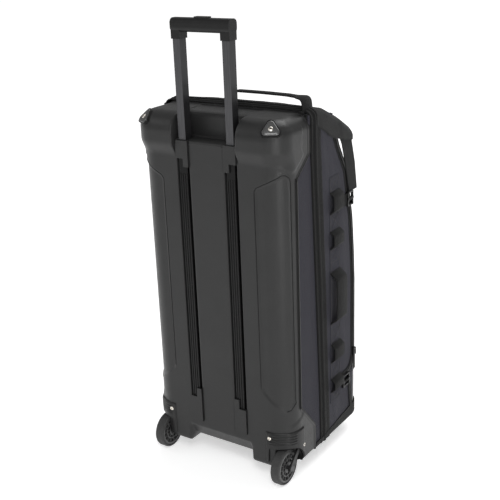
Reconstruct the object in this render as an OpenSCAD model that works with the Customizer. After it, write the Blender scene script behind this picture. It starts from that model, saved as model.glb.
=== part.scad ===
// Wheeled duffel bag: a moulded back shell with two wheels and a telescopic
// handle, and a soft fabric body with a lid that zips open at the front.
// +Z is up, the shell's back faces -Y, and the bag is symmetric about X = 0.

/* [Bag] */
// Width over the side panels
bag_width = 330; // [270:1:400]
// Height of the shell's top edge above the floor
bag_height = 730; // [600:1:880]
// Depth from the shell's back face to the front panel's face
bag_depth = 288; // [235:1:350]
// Gap between the floor and the bag's underside
ground_clearance = 33; // [28:1:40]
// How far the front edge of the top lies below the shell's top edge
front_drop = 80; // [60:1:100]
// Thickness of the padded fabric walls
fabric = 3; // [2:0.5:5]

/* [Back shell] */
// Wall of the moulded shell
shell_wall = 3; // [2:0.5:4]
// Radius of the shell's upright corners
shell_corner = 45; // [35:1:50]
// Radius of the shell's top corners, seen from behind
shell_top_corner = 30; // [20:1:35]
// Depth of the shell's sides at the top
head_depth = 92; // [80:1:100]
// Depth of the shell's sides at the waist
waist_depth = 44; // [42:1:60]
// Depth of the shell's sides at the foot
foot_depth = 98; // [90:1:110]
// How far the corner bumps stand behind the back face
bump = 10; // [6:1:12]
// Depth of the notch that the grip drops into
recess_depth = 40; // [34:1:44]
// Height of that notch
recess_height = 50; // [46:1:56]
// Room beside a handle tube in its channel
channel_side = 4; // [3:0.5:6]
// Room in front of a handle tube in its channel
channel_front = 2; // [1:0.5:4]

/* [Handle] */
// Distance between the two legs' centres
leg_spacing = 108; // [100:1:116]
// Width of a leg
leg_w = 16; // [14:0.5:18]
// Depth of a leg
leg_d = 18.5; // [16:0.5:19]
// Wall of the legs and of the outer tubes
tube_wall = 1.2; // [1:0.1:1.5]
// Clearance between a leg and the tube it slides in
leg_gap = 0.3; // [0.2:0.05:0.5]
// How far the handle is pulled out at rest
handle_out = 183; // [100:1:200]
// Length of leg left in its tube when fully pulled out
leg_overlap = 120; // [80:1:160]
// How far the grip's ends stand past the legs
grip_end = 2; // [1:0.5:6]
// Height of the grip's bar
grip_h = 25; // [22:1:30]
// Depth of the grip's bar
grip_d = 26; // [24:1:30]

/* [Wheels] */
// Diameter of the wheels
wheel_d = 74; // [66:1:80]
// Width of the tread
wheel_w = 20; // [16:1:22]
// How far the axle lies in front of the back face
axle_setback = 12; // [8:1:16]
// Distance from a side panel to the wheel's outer face
wheel_inset = 11; // [10:1:14]
// Diameter of the axles
axle_d = 8; // [6:0.5:10]
// Radial clearance of the running fits
running_gap = 0.04; // [0.02:0.01:0.1]

/* [Front lid] */
// Distance from the side panels' back edge of the lid to its front face
lid_depth = 26; // [20:1:32]
// Height of the lid's hinge line above the floor
hinge_z = 150; // [130:1:170]
// How far the front pocket stands proud
pocket_proud = 6; // [4:1:10]

/* [Webbing] */
// Width of the side webbing
webbing_w = 40; // [30:1:42]
// Thickness of the webbing
webbing_t = 2; // [1.5:0.5:3]
// How far the webbing's loops stand out from the side
loop_out = 14; // [10:1:18]
// How far the side handles stand out from the side
handle_bulge = 22; // [18:1:28]

/* [Hidden] */
$fn = 48;
tiny = 0.01;
half_w = bag_width / 2;
// shell, sideways outline
head_z = bag_height - 72;
neck_z = bag_height - 110;
ankle_z = 157;
foot_z = 93;
belly_z = ground_clearance + 15;
belly_half = 75;
bump_low_z = bag_height - 82;
bump_full_z = bag_height - 54;
top_back_r = 36;
recess_z = bag_height - recess_height;
// handle
tube_x = leg_spacing / 2;
grip_w = leg_spacing + leg_w + 2 * grip_end;
recess_half = grip_w / 2 + 4;
tube_y = 2 + leg_d / 2;
tube_w = leg_w + 2 * (leg_gap + tube_wall);
tube_d = leg_d + 2 * (leg_gap + tube_wall);
channel_half = tube_w / 2 + channel_side;
channel_depth = tube_y + tube_d / 2 + channel_front;
channel_low_z = 92;
tube_low_z = 104;
tube_high_z = recess_z - 4;
seat_gap = 2;
stowed_foot = 98;
leg_length = recess_z + seat_gap - tube_low_z - stowed_foot;
travel = leg_length - leg_overlap;
grip_low_z = recess_z + seat_gap + handle_out;
leg_low_z = grip_low_z - leg_length;
leg_in_grip = 16;
sleeve_h = 12;
grip_bar_z = grip_low_z + sleeve_h;
grip_top_z = grip_bar_z + grip_h;
pin_d = 5;
pin_rise = 12;
pin_out = 2;
button_w = 30;
button_d = 11;
button_travel = 3;
rod_d = 4;
// wheels
wheel_r = wheel_d / 2;
wheel_x = half_w - wheel_inset - wheel_w / 2;
rim_r = wheel_r - 4;
tread_round = 3.5;
bearing_r = 11;
bearing_w = 7;
well_gap = 5;
well_r = wheel_r + well_gap;
well_inner_x = wheel_x - wheel_w / 2 - 4;
plate_t = 2.5;
plate_low_z = 45;
plate_high_z = wheel_r + well_r + 34;
plate_x = half_w - 53;
plate_y = axle_setback + well_r + 1;
back_screw = [half_w - 44, plate_high_z - 13];
brace_x = half_w - 7;
brace_t = 4;
side_screw = [axle_setback, wheel_r] + (well_r + 11) * [cos(42.7), sin(42.7)];
// soft body
zip_y = bag_depth - lid_depth;
front_top_z = bag_height - front_drop;
lid_top_z = front_top_z - 150;
piping_r = 2;
piping_out = piping_r + 1.1;
tape_w = 38;
tape_t = 1.5;
tape_top_y = 96;
tape_slope = 0.041;
tape_low_y = tape_top_y + (head_z - ground_clearance) * tape_slope;
seam_y = (tape_top_y + tape_low_y + tape_w) / 2;
chain_y = 163;
hinge_gap = 2;
foot_pos = [95, bag_depth - 52];
screw_d = 6;
middle_y = (bag_depth + pocket_proud + axle_setback - wheel_r) / 2;

// ---- helpers ----

// Moves a piece from the shell's back face to the middle of the whole bag.
module in_place() translate([0, -middle_y, 0]) children();

// Puts a piece drawn on the right, at +X, on the right (1) or the left (-1).
module on_side(side) {
    if (side > 0) children();
    else mirror([1, 0, 0]) children();
}

// Both sides of a symmetric pair.
module both_sides() for (side = [-1, 1]) on_side(side) children();

// Extrudes an outline drawn in Y and Z along X, from x0 to x1.
module across(x0, x1) translate([x0, 0, 0]) rotate([90, 0, 90])
    linear_extrude(x1 - x0) children();

// Extrudes an outline drawn in X and Z along Y, from y0 to y1.
module along_depth(y0, y1) translate([0, y1, 0]) rotate([90, 0, 0])
    linear_extrude(y1 - y0) children();

// A block from one corner to the opposite one.
module block(low, high) translate(low) cube(high - low);

// Points of an arc, from angle a0 to a1.
function arc(c, r, a0, a1, n = 8) =
    [for (i = [0:n]) c + r * [cos(a0 + (a1 - a0) * i / n), sin(a0 + (a1 - a0) * i / n)]];

// ---- back shell ----

// The shell's plan: straight sides and rounded back corners, drawn in by inset.
module footprint(inset) {
    r = shell_corner - inset;
    cx = half_w - shell_corner;
    polygon(concat(
        [[-(half_w - inset), 2 * bag_depth]],
        arc([-cx, shell_corner], r, 180, 270),
        arc([cx, shell_corner], r, 270, 360),
        [[half_w - inset, 2 * bag_depth]]));
}

// The plan of the corner bumps, which stand behind the back face.
module bump_footprint(inset) translate([0, -bump]) footprint(inset);

// The shell seen from behind, with rounded top corners.
module back_outline(inset) {
    r = shell_top_corner - inset;
    cx = half_w - shell_top_corner;
    cz = bag_height - shell_top_corner;
    low = ground_clearance + inset;
    polygon(concat(
        [[half_w - inset, low]],
        arc([cx, cz], r, 0, 90),
        arc([-cx, cz], r, 90, 180),
        [[-(half_w - inset), low]]));
}

// The shell seen from the side: deep at the head and foot, with a slim waist.
module side_outline(back, inset, open_front) {
    r = top_back_r - inset;
    front = open_front ? bag_depth : 0;
    polygon(concat(
        [[back, ground_clearance + inset]],
        [[front + foot_depth, ground_clearance + inset], [front + foot_depth, foot_z],
         [front + waist_depth, ankle_z], [front + waist_depth, neck_z],
         [front + head_depth, head_z], [front + head_depth, bag_height - inset]],
        arc([back + r, bag_height - inset - r], r, 90, 180)));
}

// The bumps taper back into the flat back face below.
module bump_outline(inset) {
    r = top_back_r - inset;
    polygon(concat(
        [[shell_corner, bump_low_z], [inset, bump_low_z], [inset - bump, bump_full_z]],
        arc([inset - bump + r, bag_height - inset - r], r, 180, 90),
        [[shell_corner, bag_height - inset]]));
}

// The solid that fills the shell's outside, or its inside when inset by the wall.
module shell_mass(inset) {
    intersection() {
        linear_extrude(bag_height) footprint(inset);
        along_depth(-1, bag_depth) back_outline(inset);
        across(-half_w, half_w) side_outline(inset, inset, inset > 0);
    }
    intersection() {
        linear_extrude(bag_height) bump_footprint(inset);
        along_depth(-bump - 1, bag_depth) back_outline(inset);
        across(-half_w, half_w) bump_outline(inset);
    }
}

// The notch at the top that the grip drops into.
module grip_notch(grow) block(
    [-recess_half - grow, -bump - 1, recess_z - grow],
    [recess_half + grow, recess_depth + grow, bag_height + 1]);

// The upright channel of one outer tube.
module tube_channel(grow) block(
    [tube_x - channel_half - grow, -bump - 1, channel_low_z - grow],
    [tube_x + channel_half + grow, channel_depth + grow, recess_z + tiny]);

// The room that one wheel turns in.
module wheel_well(grow) translate([well_inner_x - grow, axle_setback, wheel_r])
    rotate([0, 90, 0]) cylinder(h = half_w, r = well_r + grow);

// The step between the two wheel bosses.
module belly_step(grow) block(
    [-belly_half - grow, -bump - 1, ground_clearance - 1],
    [belly_half + grow, foot_depth + 1, belly_z + grow]);

// A screw hole across the shell's wall, seen from behind.
module plate_screw_bores(r) {
    translate([back_screw[0], -1 - plate_t, back_screw[1]]) rotate([-90, 0, 0])
        cylinder(h = 8 + plate_t, r = r);
    translate([half_w + plate_t + 1, side_screw[0], side_screw[1]]) rotate([0, -90, 0])
        cylinder(h = 8 + plate_t, r = r);
}

module back_shell() color([0.25, 0.25, 0.26]) in_place() difference() {
    union() {
        difference() {
            shell_mass(0);
            shell_mass(shell_wall);
        }
        intersection() {
            shell_mass(0);
            union() {
                grip_notch(shell_wall);
                belly_step(shell_wall);
                both_sides() tube_channel(shell_wall);
                both_sides() wheel_well(shell_wall);
            }
        }
    }
    grip_notch(0);
    belly_step(0);
    both_sides() tube_channel(0);
    both_sides() wheel_well(0);
    both_sides() plate_screw_bores(screw_d / 2);
    both_sides() corner_screw_shape();
    both_sides() axle_rod(0);
}

// The shell's front edge, from the bottom panel up to the rounded top corner.
shell_edge = [[foot_depth, ground_clearance + fabric], [foot_depth, foot_z], [waist_depth, ankle_z],
    [waist_depth, neck_z], [head_depth, head_z], [head_depth, bag_height - shell_top_corner]];

// The beading along the shell's edge, up both sides and over the top.
module shell_piping() color([0.08, 0.08, 0.09]) in_place() {
    near = [for (p = shell_edge) p + [piping_out - piping_r, 0]];
    far = [for (i = [len(shell_edge) - 1:-1:0]) shell_edge[i] + [piping_out + piping_r, 0]];
    both_sides() across(half_w - 2 * piping_r, half_w) polygon(concat(near, far));
    along_depth(head_depth + piping_out - piping_r, head_depth + piping_out + piping_r)
        intersection() {
            difference() {
                back_outline(0);
                back_outline(2 * piping_r);
            }
            translate([-half_w, bag_height - shell_top_corner])
                square([bag_width, shell_top_corner]);
        }
}

// ---- soft body ----

function tape_y(z) = tape_top_y + (head_z - z) * tape_slope;

// The side's upper edge, from the shell forward to the lid: level, then a long slope.
top_z = bag_height + 2;
top_line = [
    [head_depth + 2 * piping_out, top_z],
    [head_depth + 30, top_z],
    [head_depth + 62, top_z - 10],
    [zip_y - 60, top_z - 36],
    [zip_y - 12, front_top_z + 14],
    [zip_y, front_top_z]];

// How far the yoke's side flaps hang down from the top edge.
flap_drop = 27;

// The part of the top line in front of a given depth, lowered by drop.
function top_from(y, drop) = [for (p = top_line) if (p[0] > y) p - [0, drop]];

function reversed(list) = [for (i = [len(list) - 1:-1:0]) list[i]];

module back_gusset(side) color([0.25, 0.25, 0.28]) in_place() on_side(side)
    across(half_w - fabric, half_w) intersection() {
        polygon(concat([for (p = shell_edge) p + [2 * piping_out, 0]],
            [top_line[0], [seam_y, top_z - 12], [seam_y, ground_clearance]]));
        translate([0, ground_clearance + fabric]) square(bag_height);
    }

module edge_tape(side) color([0.06, 0.06, 0.07]) in_place() on_side(side)
    across(half_w, half_w + tape_t) {
        low = ground_clearance + 6;
        high = top_z - flap_drop - 15;
        polygon([[tape_y(low), low], [tape_y(low) + tape_w, low],
            [tape_top_y + tape_w, head_z], [tape_top_y + tape_w, high],
            [tape_top_y, high], [tape_top_y, head_z]]);
    }

module side_panel(side) color([0.2, 0.2, 0.23]) in_place() on_side(side)
    across(half_w - fabric, half_w) polygon(concat(
        [[seam_y, ground_clearance + fabric], [seam_y, top_z - 12]],
        top_from(seam_y, 0),
        [[zip_y, hinge_z], [bag_depth, hinge_z], [bag_depth, ground_clearance + fabric]]));

module top_panel() color([0.1, 0.1, 0.11]) in_place()
    across(-half_w + fabric, half_w - fabric)
        polygon(concat(top_line, reversed(top_from(0, fabric))));

// The dark cover over the top, whose flaps lie on the sides.
module top_yoke() color([0.07, 0.07, 0.08]) in_place() {
    back_y = head_depth + 29;
    low = [for (p = top_from(back_y, flap_drop)) p];
    across(-half_w - tape_t, half_w + tape_t)
        polygon(concat(top_from(back_y, 0), reversed(top_from(back_y, -tape_t))));
    both_sides() across(half_w, half_w + tape_t)
        polygon(concat(top_from(back_y, 0), reversed(low)));
}

module bottom_panel() color([0.1, 0.1, 0.1]) in_place() difference() {
    block([-half_w, foot_depth, ground_clearance],
        [half_w, bag_depth, ground_clearance + fabric]);
    both_sides() foot_screw_shape(0);
}

module front_border() color([0.1, 0.1, 0.1]) in_place() block(
    [-half_w + fabric, bag_depth - fabric, ground_clearance + fabric],
    [half_w - fabric, bag_depth, hinge_z]);

module base_board() color([0.3, 0.3, 0.3]) in_place() difference() {
    block([-half_w + 12, foot_depth + 6, ground_clearance + fabric],
        [half_w - 12, bag_depth - 8, ground_clearance + fabric + 3]);
    both_sides() foot_screw_shape(0);
}

// ---- handle, fixed part ----

// The prism that a leg or a tube fills, widened by grow.
module leg_prism(low, high, grow) block(
    [tube_x - leg_w / 2 - grow, tube_y - leg_d / 2 - grow, low],
    [tube_x + leg_w / 2 + grow, tube_y + leg_d / 2 + grow, high]);

stop_heights = [leg_low_z - handle_out, leg_low_z, leg_low_z + travel - handle_out];

// The slot and the three stop holes in the tube's inner wall.
module stop_holes() {
    slot = pin_d / 2 + leg_gap;
    x0 = tube_x - tube_w / 2 - 1;
    block([x0, tube_y - slot, stop_heights[0] + pin_rise - slot],
        [tube_x, tube_y + slot, stop_heights[2] + pin_rise + slot]);
    for (z = stop_heights) translate([x0, tube_y, z + pin_rise]) rotate([0, 90, 0])
        cylinder(h = tube_w / 2, r = pin_d / 2 + 1.2);
}

module outer_tube(side) color([0.08, 0.08, 0.08]) in_place() on_side(side) difference() {
    leg_prism(tube_low_z, tube_high_z, leg_gap + tube_wall);
    leg_prism(tube_low_z - 1, tube_high_z + 1, leg_gap);
    stop_holes();
}

module tube_collar(side) color([0.16, 0.16, 0.17]) in_place() on_side(side) difference() {
    union() {
        block([tube_x - channel_half, -3, recess_z - 34],
            [tube_x + channel_half, channel_depth, recess_z]);
        block([tube_x - channel_half, -3, recess_z - 50],
            [tube_x - 2, tube_y - tube_d / 2, recess_z - 34]);
    }
    leg_prism(recess_z - 60, tube_high_z, leg_gap + tube_wall);
    leg_prism(recess_z - 60, recess_z + 1, leg_gap);
}

module tube_clip(side) color([0.16, 0.16, 0.17]) in_place() on_side(side) difference() {
    union() {
        block([tube_x - channel_half, -3, channel_low_z],
            [tube_x + channel_half, channel_depth, channel_low_z + 54]);
        block([tube_x - channel_half, -3, channel_low_z + 54],
            [tube_x - 2, tube_y - tube_d / 2, channel_low_z + 74]);
    }
    leg_prism(tube_low_z, channel_low_z + 80, leg_gap + tube_wall);
}

// ---- corner caps ----

cap_size = 19;
cap_t = 2.5;
cap_round = 8;
corner_point = [half_w - 22.5, 0, bag_height - 10.5];

// Lays a piece on the slope of the top corner, facing back, up and out.
module on_corner() translate(corner_point) rotate([0, 0, 30]) rotate([50, 0, 0])
    children();

// A triangle with rounded corners, one pointing up.
module corner_cap_outline() polygon([for (k = [0:2]) for (a = [-50:25:50])
    (cap_size - cap_round) * [cos(90 + 120 * k), sin(90 + 120 * k)]
    + cap_round * [cos(90 + 120 * k + a), sin(90 + 120 * k + a)]]);

module corner_screw_shape() on_corner() translate([0, 0, -10])
    cylinder(h = 10 + cap_t, r = screw_d / 2);

module corner_cap(side) color([0.3, 0.3, 0.31]) in_place() on_side(side) difference() {
    on_corner() translate([0, 0, -2 * cap_t]) linear_extrude(3 * cap_t) corner_cap_outline();
    shell_mass(0);
    corner_screw_shape();
}

module corner_screws() color("silver") in_place() both_sides() {
    corner_screw_shape();
    on_corner() translate([0, 0, cap_t]) cylinder(h = 1.5, r = screw_d / 2 + 2);
}

// ---- wheels ----

// The ring of wall that the housing plate covers.
module plate_zone() block([plate_x, -plate_t - 1, plate_low_z],
    [half_w + plate_t + 1, plate_y, plate_high_z]);

module wheel_housing(side) color([0.12, 0.12, 0.13]) in_place() on_side(side) difference() {
    intersection() {
        linear_extrude(bag_height) footprint(-plate_t);
        plate_zone();
    }
    linear_extrude(bag_height) footprint(0);
    wheel_well(0);
    plate_screw_bores(screw_d / 2);
}

module housing_screws() color("silver") in_place() both_sides() {
    intersection() {
        plate_screw_bores(screw_d / 2);
        block([0, -plate_t, 0], [half_w + plate_t, bag_depth, bag_height]);
    }
    translate([back_screw[0], -plate_t, back_screw[1]]) rotate([90, 0, 0])
        cylinder(h = 1.5, r = screw_d / 2 + 2);
    translate([half_w + plate_t, side_screw[0], side_screw[1]]) rotate([0, 90, 0])
        cylinder(h = 1.5, r = screw_d / 2 + 2);
}

// The arm that holds the axle's outer end, from the side screw to the axle.
module axle_brace(side) color([0.15, 0.15, 0.16]) in_place() on_side(side) difference() {
    intersection() {
        union() {
            axle_point = [axle_setback, wheel_r];
            run = axle_point - side_screw;
            across(brace_x, brace_x + brace_t) {
                translate(axle_point) circle(r = 8);
                translate(side_screw) rotate(atan2(run[1], run[0]))
                    translate([0, -5]) square([norm(run), 10]);
            }
        }
        wheel_well(0);
    }
    axle_rod(0);
}

// One axle, grown by grow.
module axle_rod(grow) translate([well_inner_x - shell_wall - 2, axle_setback, wheel_r])
    rotate([0, 90, 0]) cylinder(h = brace_x + brace_t - well_inner_x + shell_wall + 2,
        r = axle_d / 2 + grow);

module wheel_axles() color("silver") in_place() both_sides() {
    axle_rod(0);
    translate([brace_x + brace_t, axle_setback, wheel_r]) rotate([0, 90, 0])
        cylinder(h = 1.5, r = axle_d / 2 + 2.5);
}

// A ring about the wheel's axis, from r0 to r1 and w wide.
module wheel_ring(r0, r1, w, shift = 0) translate([wheel_x - w / 2 + shift, axle_setback, wheel_r])
    rotate([0, 90, 0]) difference() {
        cylinder(h = w, r = r1, $fn = 96);
        translate([0, 0, -1]) cylinder(h = w + 2, r = r0, $fn = 96);
    }

module wheel_tread(side) color([0.3, 0.3, 0.31]) in_place() on_side(side)
    translate([wheel_x, axle_setback, wheel_r]) rotate([0, 90, 0]) rotate_extrude($fn = 96)
        polygon(concat(
            [[rim_r, -wheel_w / 2]],
            arc([wheel_r - tread_round, -wheel_w / 2 + tread_round], tread_round, -90, 0, 4),
            arc([wheel_r - tread_round, wheel_w / 2 - tread_round], tread_round, 0, 90, 4),
            [[rim_r, wheel_w / 2]]));

module wheel_hub(side) color([0.1, 0.1, 0.1]) in_place() on_side(side) difference() {
    wheel_ring(bearing_r, rim_r, wheel_w - 2);
    translate([wheel_x - wheel_w, axle_setback, wheel_r]) rotate([0, 90, 0])
        for (row = [[rim_r - 6.5, 3.4], [rim_r - 14.5, 2.6]]) for (k = [0:13])
            rotate(360 / 14 * (k + (row[1] > 3 ? 0 : 0.5))) translate([row[0], 0, 0])
                cylinder(h = 2 * wheel_w, r = row[1], $fn = 6);
}

module wheel_bearings(side) color("silver") in_place() on_side(side)
    for (end = [-1, 1]) wheel_ring(axle_d / 2 + running_gap, bearing_r, bearing_w,
        end * (wheel_w / 2 - bearing_w / 2 - 1));

// ---- feet ----

module foot_screw_shape(lift) translate([foot_pos[0], foot_pos[1], ground_clearance - 12 + lift])
    cylinder(h = 12 + fabric + 3, r = screw_d / 2);

module stand_feet() color([0.1, 0.1, 0.1]) in_place() both_sides() difference() {
    block([foot_pos[0] - 22, foot_pos[1] - 12, 0],
        [foot_pos[0] + 22, foot_pos[1] + 12, ground_clearance]);
    foot_screw_shape(0);
}

module foot_screws() color("silver") in_place() both_sides() {
    foot_screw_shape(0);
    translate([foot_pos[0], foot_pos[1], ground_clearance + fabric + 3])
        cylinder(h = 1.5, r = screw_d / 2 + 2);
}

// ---- webbing ----

// Heights of the loops and of the side handle, spread over the side's height.
function up_side(shares) = [for (s = shares)
    ground_clearance + s * (front_top_z - ground_clearance)];
loop_spans = [up_side([0.167, 0.2156]), up_side([0.2771, 0.342]), up_side([0.6742, 0.7326]),
    up_side([0.7909, 0.8606])];
handle_span = up_side([0.4165, 0.5948]);
chain_ends = [loop_spans[0][0] - 26, loop_spans[3][1] + 30];

// One arch of webbing that stands out from the side between two heights.
module arch(span, out, t) {
    foot = out * 0.6;
    low = span[0];
    high = span[1];
    polygon([[0, low - t], [out, low + foot - t], [out, high - foot + t], [0, high + t],
        [0, high - t / 2], [out - t, high - foot], [out - t, low + foot], [0, low + t / 2]]);
}

module webbing_chain(side) color([0.05, 0.05, 0.06]) in_place() on_side(side)
    translate([half_w, 0, 0]) along_depth(chain_y, chain_y + webbing_w) {
        stretches = concat([chain_ends[0]], [for (s = loop_spans) each s], [chain_ends[1]]);
        for (i = [0:2:len(stretches) - 1])
            translate([0, stretches[i]]) square([webbing_t, stretches[i + 1] - stretches[i]]);
        for (s = loop_spans) arch(s, loop_out, webbing_t);
    }

module side_handle(side) color([0.04, 0.04, 0.05]) in_place() on_side(side)
    translate([half_w + webbing_t, 0, 0]) along_depth(chain_y, chain_y + webbing_w) {
        arch(handle_span, handle_bulge, webbing_t + 2);
        for (z = [handle_span[0] - 25, handle_span[1] - 5])
            translate([0, z]) square([webbing_t, 30]);
    }

// The strap that runs down each side's front edge, and the buckles it runs through.
strap_y = zip_y - 48;
strap_low_z = front_top_z - 102;
buckle_h = [32, 28];

module corner_straps() color([0.05, 0.05, 0.06]) in_place() both_sides() {
    high = front_top_z - 14;
    across(half_w, half_w + webbing_t) polygon([[strap_y - 8, high], [strap_y + 26, high],
        [strap_y + 32, strap_low_z], [strap_y - 2, strap_low_z]]);
    block([half_w, chain_y + webbing_w + 1, strap_low_z - 27],
        [half_w + webbing_t, strap_y - 2, strap_low_z - 3]);
}

module strap_buckles() color([0.03, 0.03, 0.03]) in_place() both_sides() {
    low = hinge_z - 38;
    block([half_w, strap_y - 2, strap_low_z - buckle_h[0]], [half_w + 7, strap_y + 36, strap_low_z]);
    block([half_w, strap_y + 8, low], [half_w + 7, strap_y + 34, low + buckle_h[1]]);
}

// The carrying handle on top: a stiff strap in a low arch between two sewn feet, the left
// one just past the middle and the right one at the bag's edge.
module top_handle() color([0.04, 0.04, 0.05]) in_place() along_depth(102, 118) {
    high = top_z + 27;
    low = high - 4;
    left = -18;
    right = half_w - 14;
    polygon([[left, top_z], [left + 7, top_z], [left + 9, low - 5], [left + 16, low],
        [right - 44, low], [right - 17, low - 3], [right - 10, low - 6], [right - 7, top_z],
        [right, top_z], [right - 4, low], [right - 17, high - 2], [right - 44, high],
        [left + 14, high], [left + 4, high - 4]]);
}

// ---- lid ----

// The lid's outline seen from the side, between the hinge line and the top zip.
module lid_profile(skin) {
    low = hinge_z + hinge_gap;
    polygon([[bag_depth - skin, low], [bag_depth, low], [bag_depth, lid_top_z],
        [zip_y + hinge_gap, front_top_z], [zip_y + hinge_gap, front_top_z - fabric],
        [bag_depth - skin, lid_top_z - skin / 2]]);
}

module lid_panel() color([0.1, 0.1, 0.11]) in_place()
    across(-half_w + fabric, half_w - fabric) lid_profile(fabric);

module lid_gusset() color([0.2, 0.2, 0.23]) in_place() both_sides()
    across(half_w - fabric, half_w) polygon([[zip_y + hinge_gap, hinge_z + hinge_gap],
        [bag_depth, hinge_z + hinge_gap], [bag_depth, lid_top_z],
        [zip_y + hinge_gap, front_top_z]]);

module bag_zip_tape() color([0.03, 0.03, 0.03]) in_place() both_sides()
    block([half_w, zip_y - 8, hinge_z + 10], [half_w + 1, zip_y, front_top_z - 30]);

module lid_zip_tape() color([0.03, 0.03, 0.03]) in_place() both_sides()
    block([half_w, zip_y + hinge_gap, hinge_z + 10],
        [half_w + 1, zip_y + hinge_gap + 7, front_top_z - 30]);

module lid_pocket() color([0.12, 0.12, 0.13]) in_place() block(
    [-half_w + 30, bag_depth, hinge_z + 40],
    [half_w - 30, bag_depth + pocket_proud, lid_top_z - 90]);

// The main zip's slider and the pull that hangs from it.
slider_z = 190;

module zip_slider() color([0.03, 0.03, 0.03]) in_place() difference() {
    block([half_w + 1.5, zip_y - 4, slider_z - 8], [half_w + 7, zip_y + 6, slider_z + 8]);
    translate([half_w + 5, zip_y - 5, slider_z]) rotate([-90, 0, 0])
        cylinder(h = 12, r = 1.4);
    block([half_w + 3, zip_y - 2, slider_z - 9], [half_w + 8, zip_y + 4, slider_z + 4]);
}

module zip_pull() color([0.03, 0.03, 0.03]) in_place() {
    translate([half_w + 5, zip_y - 3.9, slider_z]) rotate([-90, 0, 0])
        cylinder(h = 9.8, r = 1.4 - running_gap);
    block([half_w + 4, zip_y - 1.7, slider_z - 40], [half_w + 6, zip_y + 3.7, slider_z]);
}

// The pocket's zip slider, at the right end of its run.
module pocket_zip_slider() color([0.03, 0.03, 0.03]) in_place() {
    z = lid_top_z - 60;
    block([half_w - 50, bag_depth + 0.4, z - 4], [half_w - 36, bag_depth + 4, z + 4]);
    block([half_w - 44, bag_depth + 1, z - 26], [half_w - 38, bag_depth + 3, z - 4]);
}

// ---- handle, moving part ----

module leg(side) color([0.2, 0.2, 0.21]) in_place() on_side(side) difference() {
    leg_prism(leg_low_z, grip_low_z + leg_in_grip, 0);
    leg_prism(leg_low_z - 1, grip_low_z + leg_in_grip + 1, -1.5);
    lock_pin_shape(running_gap);
}

module leg_plugs() color([0.2, 0.2, 0.2]) in_place() both_sides() difference() {
    leg_prism(leg_low_z, leg_low_z + 24, -1.5);
    lock_pin_shape(running_gap);
    translate([tube_x, tube_y, leg_low_z - 1]) cylinder(h = 40, r = rod_d / 2 + 0.5);
}

module lock_pin_shape(grow) translate([tube_x - leg_w / 2 - pin_out, tube_y,
    leg_low_z + pin_rise]) rotate([0, 90, 0]) cylinder(h = pin_out + leg_w / 2 - rod_d / 2 - 1
        + (grow > 0 ? button_travel + 1 : 0), r = pin_d / 2 + grow);

module lock_pin(side) color("silver") in_place() on_side(side) lock_pin_shape(0);

// The grip's bar and its two sleeves.
module grip() color([0.05, 0.05, 0.05]) in_place() difference() {
    union() {
        r = 9;
        across(-grip_w / 2, grip_w / 2) translate([tube_y, grip_bar_z + grip_h / 2]) {
            square([grip_d, grip_h - 2 * r], center = true);
            square([grip_d - 2 * r, grip_h], center = true);
            for (y = [-1, 1]) for (z = [-1, 1])
                translate([y * (grip_d / 2 - r), z * (grip_h / 2 - r)]) circle(r = r);
        }
        both_sides() block([tube_x - leg_w / 2 - 2, tube_y - leg_d / 2 - 2, grip_low_z],
            [tube_x + leg_w / 2 + 2, tube_y + leg_d / 2 + 2, grip_bar_z + grip_h / 2]);
    }
    both_sides() leg_prism(grip_low_z - 1, grip_low_z + leg_in_grip, 0);
    button_room();
}

// The cavity for the button, its bridge and the tops of the two rods.
module button_room() {
    block([-button_w / 2 - leg_gap, tube_y - button_d / 2 - leg_gap, grip_top_z - 12],
        [button_w / 2 + leg_gap, tube_y + button_d / 2 + leg_gap, grip_top_z + 1]);
    block([-tube_x - 4, tube_y - 4, grip_low_z + leg_in_grip - 1],
        [tube_x + 4, tube_y + 4, grip_top_z - 8]);
}

module release_button() color([0.15, 0.15, 0.15]) in_place() {
    bridge_z = grip_top_z - 8 - 1;
    block([-button_w / 2, tube_y - button_d / 2, bridge_z],
        [button_w / 2, tube_y + button_d / 2, grip_top_z + 2.5]);
    block([-tube_x - 3, tube_y - 3, bridge_z - 3], [tube_x + 3, tube_y + 3, bridge_z]);
    both_sides() translate([tube_x, tube_y, leg_low_z + pin_rise + 6])
        cylinder(h = bridge_z - 3 - leg_low_z - pin_rise - 6, r = rod_d / 2);
}

back_shell();
shell_piping();
edge_tape(-1);  // edge_tape_left
edge_tape(1);  // edge_tape_right
back_gusset(-1);  // back_gusset_left
back_gusset(1);  // back_gusset_right
side_panel(-1);  // side_panel_left
side_panel(1);  // side_panel_right
top_panel();
top_yoke();
bottom_panel();
front_border();
base_board();
outer_tube(-1);  // outer_tube_left
outer_tube(1);  // outer_tube_right
tube_collar(-1);  // tube_collar_left
tube_collar(1);  // tube_collar_right
tube_clip(-1);  // tube_clip_left
tube_clip(1);  // tube_clip_right
corner_cap(-1);  // corner_cap_left
corner_cap(1);  // corner_cap_right
corner_screws();
wheel_housing(-1);  // wheel_housing_left
wheel_housing(1);  // wheel_housing_right
housing_screws();
axle_brace(-1);  // axle_brace_left
axle_brace(1);  // axle_brace_right
wheel_axles();
stand_feet();
foot_screws();
webbing_chain(-1);  // webbing_chain_left
webbing_chain(1);  // webbing_chain_right
side_handle(-1);  // side_handle_left
side_handle(1);  // side_handle_right
corner_straps();
strap_buckles();
top_handle();
bag_zip_tape();
leg(-1);  // leg_left
leg(1);  // leg_right
grip();
leg_plugs();
release_button();
lock_pin(-1);  // lock_pin_left
lock_pin(1);  // lock_pin_right
wheel_tread(-1);  // wheel_tread_left
wheel_hub(-1);  // wheel_hub_left
wheel_bearings(-1);  // wheel_bearings_left
wheel_tread(1);  // wheel_tread_right
wheel_hub(1);  // wheel_hub_right
wheel_bearings(1);  // wheel_bearings_right
lid_panel();
lid_gusset();
lid_zip_tape();
lid_pocket();
zip_slider();
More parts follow.
